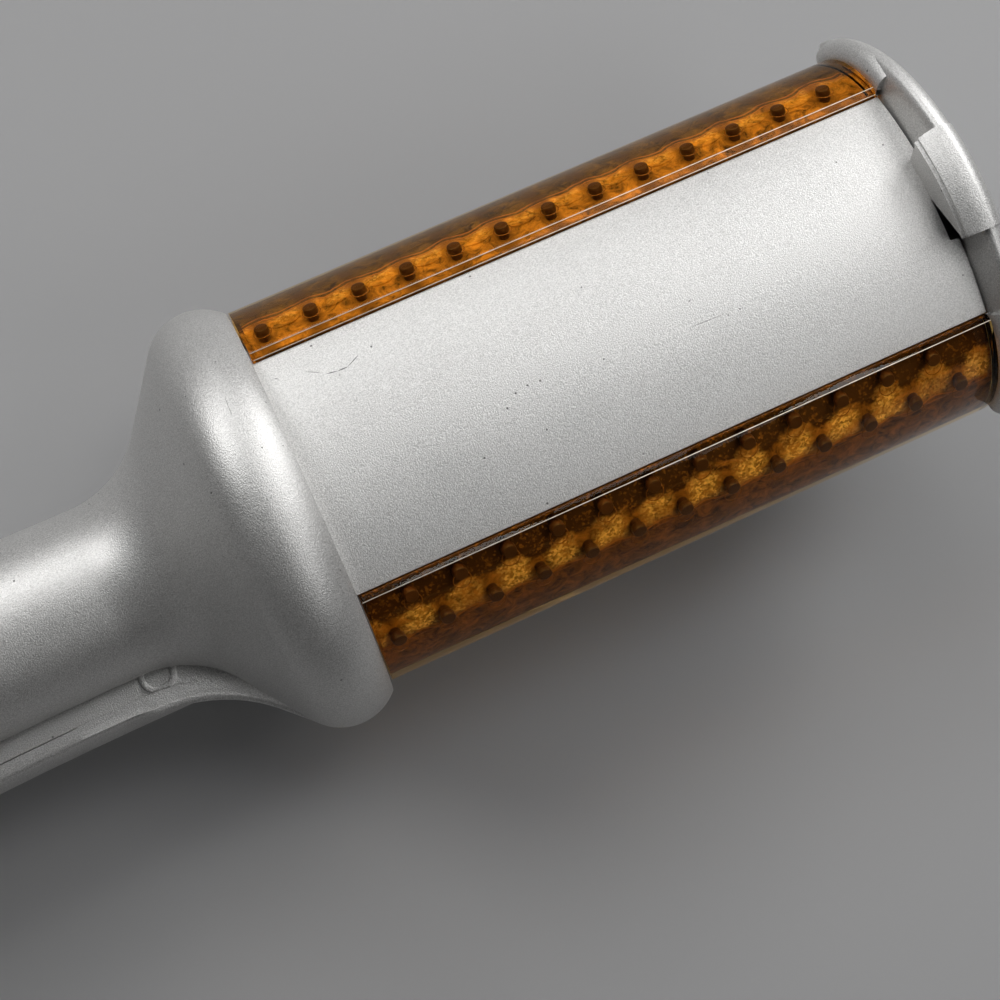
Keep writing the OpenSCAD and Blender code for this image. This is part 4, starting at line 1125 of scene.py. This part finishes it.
class BRUSH_OT_lower_shell(bpy.types.Operator):
    """Add the lower casing: half of the bell and the lower handle, with softly rounded parting edges"""

    bl_idname = "brush.lower_shell"
    bl_label = "Lower shell"

    NECK = 20.0 * MM
    FLANK = math.radians(45)
    COVE = 24 * MM
    FRONT = 19.9 * MM
    HEEL = 23.8 * MM
    HEEL_X = -150 * MM
    GRIP_START = -14 * MM
    TAIL_RUN = 26 * MM
    TAIL_TURN = math.radians(68)
    SIDE_END = -75 * MM
    SIDE_FULL = -128 * MM
    LAP = 0.2 * MM
    RIM = 2.1 * MM
    # Sharpness of the edges between flat and round faces, and between the bell and the grip
    BLEND = 26
    BELL_BLEND = 78
    JOURNAL = 9 * MM
    PANEL = ((-127 * MM, -81 * MM), (-30 * MM, -17 * MM), (-14 * MM, -3.6 * MM))
    GLAND = (6 * MM, -10 * MM)
    PIN = 2.05 * MM
    EAR = 6 * MM
    EAR_SIDE = (8.4 * MM, 13.4 * MM)
    EAR_FLOOR = 3 * MM
    HINGE_Z = -3 * MM
    LEDGE = (-46 * MM, -9 * MM)
    LEDGE_HEIGHTS = (-2.2 * MM, -0.05 * MM)
    LEDGE_WIDTH = 6 * MM
    LEDGE_INSET = 0.6 * MM
    LEDGE_SINK = 0.7 * MM
    # Width and height of the rings that close the face and the tail, as shares of their neighbours
    FACE_RINGS = ((0.2, 0.2), (0.55, 0.55))
    TAIL_RING = (0.2, 0.6)
    AROUND = 132

    def grip_radius(self, x, neck_x):
        return swell(self.FRONT, self.HEEL, min(1, max(0, (neck_x - x) / (neck_x - self.HEEL_X))))

    def stations(self):
        """The places of the rings as (x, bell radius, grip radius), from the face to the tail."""
        bell = bell_profile(self.NECK, self.FLANK, self.COVE)
        neck_x = bell[-1][0]
        rings = [
            (x, radius, self.grip_radius(x, neck_x) if x < self.GRIP_START else 0) for x, radius in bell]
        tail = self.tail_x()
        straight = tail + self.TAIL_RUN
        for x in steps_between(neck_x, straight, 46)[1:]:
            rings.append((x, 0, self.grip_radius(x, neck_x)))
        for turn in steps_between(0, self.TAIL_TURN, 16)[1:]:
            x = straight - self.TAIL_RUN * math.sin(turn) / math.sin(self.TAIL_TURN)
            rings.append((x, 0, self.HEEL * math.cos(turn)))
        return rings

    def tail_x(self):
        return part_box("lower_casing")[0].x - FACE

    def side(self, x, outline):
        """The half width that the trimmed left side leaves at a place."""
        if x < self.SIDE_END:
            share = min(1, (x - self.SIDE_END) / (self.SIDE_FULL - self.SIDE_END))
            return swell(UPPER_NECK + self.LAP, self.HEEL + 2 * MM, share)
        for (x1, r1), (x2, r2) in zip(outline, outline[1:]):
            if x1 >= x >= x2:
                return r1 + (r2 - r1) * (x - x1) / min(x2 - x1, -WELD) + self.LAP
        return (outline[0][1] if x > outline[0][0] else UPPER_NECK) + self.LAP

    def limit(self, turn, bell, grip, side):
        """How far from the grip's axis the outside lies, with the forms melted into each other."""
        drop, p, q = sizes().grip_drop, self.BLEND, self.BELL_BLEND
        up, across = math.sin(turn), math.cos(turn)
        reaches = [grip] if grip else []
        if bell > drop:
            reaches.append(drop * up + math.sqrt((drop * up) ** 2 - drop ** 2 + bell ** 2))
        full = sum(r ** q for r in reaches) ** (1 / q)
        planes = [full]
        if up > 0:
            planes.append((drop - sizes().split_gap) / up)
        if up < 0:
            planes.append((TABLE + drop) / up)
        if across > 0:
            planes.append(side / across)
        return sum(r ** -p for r in planes) ** (-1 / p)

    def ring(self, x, bell, grip, side):
        drop = sizes().grip_drop
        top = drop - sizes().split_gap
        half = max(half_width(bell, sizes().split_gap), half_width(grip, top))
        left, right = min(half, side), half
        first = math.atan2(top, -(right - self.RIM))
        last = math.atan2(top, left - self.RIM) + math.tau
        points = []
        for k in range(self.AROUND + 1):
            u = k / self.AROUND
            turn = first + (last - first) * (u - 0.1 * math.sin(math.tau * 2 * u) / 2)
            r = self.limit(turn, bell, grip, side)
            points.append(spot(x, r * math.cos(turn), r * math.sin(turn) - drop))
        return points

    def ear(self, side):
        """A web on the casing's floor that holds one end of the hinge pin."""
        pin = spot(-HINGE_BACK, 0, self.HINGE_Z)
        near, far = (side * y for y in self.EAR_SIDE)
        ear = rod("ear", pin + Vector((0, near, 0)), pin + Vector((0, far, 0)), self.EAR)
        web = block(
            "web", (-HINGE_BACK - self.EAR, -HINGE_BACK + self.EAR), (min(near, far), max(near, far)),
            (TABLE + self.EAR_FLOOR, self.HINGE_Z))
        through = Vector((0, 30 * MM, 0))
        hole = rod("hole", pin - through, pin + through, self.PIN)
        return cut(fuse(ear, web), hole)

    def ledge(self):
        """The rim on the right side that runs from the deck to the bell."""
        low, high = (-sizes().split_gap + z for z in self.LEDGE_HEIGHTS)
        rows = []
        for x, bell, grip in self.stations():
            if self.LEDGE[0] <= x <= self.LEDGE[1]:
                side = self.FRONT - self.LEDGE_INSET if x < self.GRIP_START else 0
                rows.append((x, self.LEDGE_SINK - max(half_width(bell, low), side)))
        outer = [spot(x, y, high) for x, y in rows]
        inner = [spot(x, y + self.LEDGE_WIDTH, high) for x, y in reversed(rows)]
        return bar("ledge", outer + inner, Vector((0, 0, low - high)))

    def drawn_in(self, ring, width, height):
        """A ring drawn in towards the middle of the parting plane."""
        top = AXIS - sizes().split_gap
        return [Vector((p.x, p.y * width, top + (p.z - top) * height)) for p in ring]

    def execute(self, context):
        outline = bell_profile(UPPER_NECK, UPPER_FLANK, UPPER_COVE)
        rings = [self.ring(x, bell, grip, self.side(x, outline)) for x, bell, grip in self.stations()]
        face = [self.drawn_in(rings[0], *shares) for shares in self.FACE_RINGS]
        shell = loft("lower_shell", [*face, *rings, self.drawn_in(rings[-1], *self.TAIL_RING)])
        modify(shell, "SOLIDIFY", thickness=sizes().casing_wall, offset=-1, use_rim=True)
        back, front = FACE_CUT
        radius, height = self.GLAND
        tail = self.tail_x()
        cut(
            shell,
            rod("journal", spot(back, 0, 0), spot(front, 0, 0), self.JOURNAL, sides=64),
            block("panel", *self.PANEL),
            rod("gland", spot(tail - MM, 0, height), spot(tail + 5 * MM, 0, height), radius))
        shell = join([shell, self.ledge(), *(self.ear(side) for side in (-1, 1))])
        polish(shell)
        settle(shell, "lower_arm", silver_paint("Silver paint"), "silver_shell", "lower_casing")
        return {"FINISHED"}


class BRUSH_OT_end_cap(bpy.types.Operator):
    """Add the tip disc of the brush half, with its rounded rim, its lips and its lug over the cover"""

    bl_idname = "brush.end_cap"
    bl_label = "Tip disc"

    OPENING = 17.4 * MM
    DEPTH = 4.6 * MM
    CREST = 2.0 * MM
    ROUND = 2.4 * MM
    FLATTEN = 0.95
    FLATTEN_FROM = 24 * MM
    # The front of the rim as (depth, height) in mm, with the depth from the drum's end
    RIM_FOOT = ((0.0, 27.0), (0.3, 28.6))
    # The same up to the rim's crest, with the height below the top of the rim
    RIM_FRONT = ((0.9, -1.6), (1.25, -0.75), (1.6, -0.2))
    LUG_TURN = math.radians(14.5)
    LUG_TOP = 33.2 * MM
    LUG_START = 1.55 * MM
    LUG_ROUND = 3.0 * MM
    LUG_DROP = 9 * MM
    # The lug's front from its foot over the ridge and the groove, from its start and its top in mm
    LUG_FRONT = (
        (0.0, -9.0), (0.0, -2.75), (-0.22, -2.55), (-0.26, -2.3), (-0.22, -2.05), (0.02, -1.95),
        (0.35, -1.85), (0.35, -1.6), (0.06, -1.45), (0.16, -1.2), (1.2, -0.62), (2.4, -0.15))
    LIP_RISE = 2.3 * MM
    LIP_LOW = math.radians(6)
    LIP_FOOT = 1.3 * MM
    LIP_FRONT = 0.28 * MM
    LIP_CLEAR = 0.1 * MM
    LOW = 8 * MM
    TONGUE_RADIUS = 38.78 * MM
    TONGUE_CENTRE = -18 * MM
    TONGUE_HALF = 7 * MM
    TONGUE_WALL = 1.8 * MM
    TONGUE_RUN = (-10 * MM, MM)
    TONGUE_HOLE = 1.1 * MM
    TONGUE_HOLE_X = -5 * MM

    def back_round(self, top, depth):
        """The rim from its crest over to the back face."""
        x = DRUM + self.CREST
        return [
            (x + (self.DEPTH - self.CREST) * math.sin(a), top - depth * (1 - math.cos(a)))
            for a in steps_between(0, math.pi / 2, 12)]

    def profile(self):
        rim, x, end = sizes().tip_radius, DRUM, DRUM + self.DEPTH
        front = [(x + dx * MM, r * MM) for dx, r in self.RIM_FOOT]
        front += [(x + dx * MM, rim + dr * MM) for dx, dr in self.RIM_FRONT]
        back = self.back_round(rim, self.ROUND)
        return [(x, self.OPENING), *front, *back, (end, self.OPENING), (x, self.OPENING)]

    def lug(self):
        """The lug over the cover's notch: a fine ridge, a groove and a top that runs over the rim."""
        x, top = DRUM - self.LUG_START, self.LUG_TOP
        points = [(x + dx * MM, top + dr * MM) for dx, dr in self.LUG_FRONT]
        points += self.back_round(top, self.LUG_ROUND)
        points += [(DRUM + self.DEPTH - 0.1 * MM, top - self.LUG_DROP), points[0]]
        lug = lathe("lug", points, start=math.pi / 2 - self.LUG_TURN, turn=2 * self.LUG_TURN, steps=24)
        cap_ends(lug)
        return soften(lug, 0.12 * MM, angle=60)

    def lip(self, right):
        """The rounded lip that follows a strip's outer face."""
        size = sizes()
        crest, face = DRUM + self.CREST, DRUM - self.LIP_FRONT
        foot, low = size.strip_radius - self.LIP_FOOT, size.strip_radius + self.LIP_CLEAR
        points = [(face, foot)]
        points += [
            (crest - (crest - face) * math.cos(a), low + self.LIP_RISE * math.sin(a))
            for a in steps_between(0, math.pi / 2, 12)]
        points += [(crest, foot), (face, foot)]
        centre = spot(0, size.strip_side, size.strip_lift)
        lip = lathe(
            "lip", points, centre, start=self.LIP_LOW, turn=size.strip_high - self.LIP_LOW, steps=48)
        cap_ends(lip)
        return to_right(lip) if right else lip

    def tongue(self):
        """The leaf under the frame that carries the disc, with its screw hole."""
        start, end = self.TONGUE_RUN
        outer, inner = (
            crown(DRUM + start, r, self.TONGUE_CENTRE, math.asin(self.TONGUE_HALF / r), 12)
            for r in (self.TONGUE_RADIUS, self.TONGUE_RADIUS - self.TONGUE_WALL))
        leaf = bar("tongue", [*outer, *reversed(inner)], Vector((end - start, 0, 0)))
        x = DRUM + self.TONGUE_HOLE_X
        return cut(leaf, rod("hole", spot(x, 0, 18 * MM), spot(x, 0, 22 * MM), self.TONGUE_HOLE))

    def execute(self, context):
        disc = lathe("tip_disc", self.profile(), turn=math.pi, steps=128)
        cap_ends(disc)
        slice_flat(disc, spot(0, 0, self.LOW), (0, 0, -1))
        with editing(disc, "VERT", lambda v: math.hypot(v.co.y, v.co.z - AXIS) > self.FLATTEN_FROM):
            bpy.ops.transform.resize(value=(1, 1, self.FLATTEN), center_override=spot(0, 0, 0))
        disc = join([disc, self.tongue(), self.lug(), self.lip(False), self.lip(True)])
        polish(disc)
        settle(disc, "brush_arm", silver_paint("Silver paint"), "silver_shell", "brush_end_cap")
        return {"FINISHED"}


class BRUSH_OT_carried(bpy.types.Operator):
    """Finish the pieces whose construction shape is right as it stands"""

    bl_idname = "brush.carried"
    bl_label = "Carried pieces"

    EDGE = 0.2 * MM
    SHARP = math.radians(40)

    def finishes(self):
        """The finish of each carried piece, by name."""
        tint = colours()
        return {
            silver_paint("Silver paint"): ("handle_deck", "tail_cap"),
            plastic("Charcoal plastic", tint.charcoal, (0.07, 0.07, 0.075), 0.42): (
                "bearing_bracket", "motor_plate", "motor_cradle", "tip_cap", "board_parts", "heat_switch",
                "power_switch", "control_plate", "close_switch", "upper_liner", "brush_frame", "lock_slider",
                # The deck screws take the charcoal finish as painted shade, so that their recesses read dark
                "deck_screws"),
            metal("Bronze", tint.bronze, (400, 2600, 2600), 0.32): ("rear_bush", "front_bush"),
            metal("Turned steel", tint.steel, (3000, 500, 500), 0.26): (
                "spindle", "barrel_hub", "barrel_front", "motor_shaft", "hinge_pin", "tip_screw",
                "liner_screws", "frame_screws", "cover_screws"),
            metal("Stamped steel", tint.steel, (900, 2500, 2500), 0.3): (
                "gear_motor", "thermostat", "button_spring", "opening_spring", "hinge_bracket",
                "heat_slider", "power_button"),
            metal("Copper wire", tint.copper, (3200, 300, 300), 0.35): ("heater_winding",),
            plastic("Porcelain", tint.porcelain, (0.70, 0.66, 0.58), 0.5): ("heater_core",),
            plastic("White plastic", tint.white, (0.66, 0.64, 0.58), 0.4): ("drum_gear", "switch_plunger"),
            plastic("Board", tint.board, (0.04, 0.20, 0.08), 0.35): ("circuit_board", "switch_board"),
            plastic("Light pipes", tint.lens, (0.6, 0.65, 0.6), 0.15): ("light_pipes",),
            plastic("Leads", tint.wire, (0.25, 0.03, 0.02), 0.5): ("wiring",),
            metal("Brass", tint.bronze, (2600, 500, 500), 0.28): ("drive_pinion",),
            plastic("Ceramic coat", tint.ceramic, (0.09, 0.09, 0.10), 0.26): ("barrel_tube",),
            plastic("Rubber", tint.rubber, (0.06, 0.06, 0.06), 0.62): ("cord_swivel",),
        }

    def execute(self, context):
        for finish, names in self.finishes().items():
            for name in names:
                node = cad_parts[name]
                node.data.materials.clear()
                node.data.materials.append(finish)
                weld = node.modifiers.new("Weld", "WELD")
                weld.merge_threshold = WELD
                bevel = node.modifiers.new("Edges", "BEVEL")
                bevel.width, bevel.segments, bevel.limit_method = self.EDGE, 2, "ANGLE"
                bevel.angle_limit = self.SHARP
                node.data.shade_smooth()
                node.modifiers.new("Normals", "WEIGHTED_NORMAL").keep_sharp = True
        return {"FINISHED"}


STEPS = (
    BRUSH_OT_stage, BRUSH_OT_cover, BRUSH_OT_strips, BRUSH_OT_tufts, BRUSH_OT_upper_shell,
    BRUSH_OT_lower_shell, BRUSH_OT_end_cap, BRUSH_OT_carried)


class BRUSH_PT_panel(bpy.types.Panel):
    """The brush's build steps and its sizes"""

    bl_label = "Curling Brush"
    bl_idname = "BRUSH_PT_panel"
    bl_space_type = "VIEW_3D"
    bl_region_type = "UI"
    bl_category = "Curling Brush"

    def draw(self, context):
        layout = self.layout
        for step in STEPS:
            layout.operator(step.bl_idname)
        layout.separator()
        for name in BrushSizes.__annotations__:
            layout.prop(context.scene.brush_sizes, name)
        for name in BrushColours.__annotations__:
            layout.prop(context.scene.brush_colours, name)


CLASSES = (BrushSizes, BrushColours, *STEPS, BRUSH_PT_panel)


def register():
    for entry in CLASSES:
        bpy.utils.register_class(entry)
    bpy.types.Scene.brush_sizes = PointerProperty(type=BrushSizes)
    bpy.types.Scene.brush_colours = PointerProperty(type=BrushColours)


def unregister():
    del bpy.types.Scene.brush_colours
    del bpy.types.Scene.brush_sizes
    for entry in reversed(CLASSES):
        bpy.utils.unregister_class(entry)


def main():
    register()
    for step in STEPS:
        area, name = step.bl_idname.split(".")
        getattr(getattr(bpy.ops, area), name)()


if __name__ == "__main__":
    main()
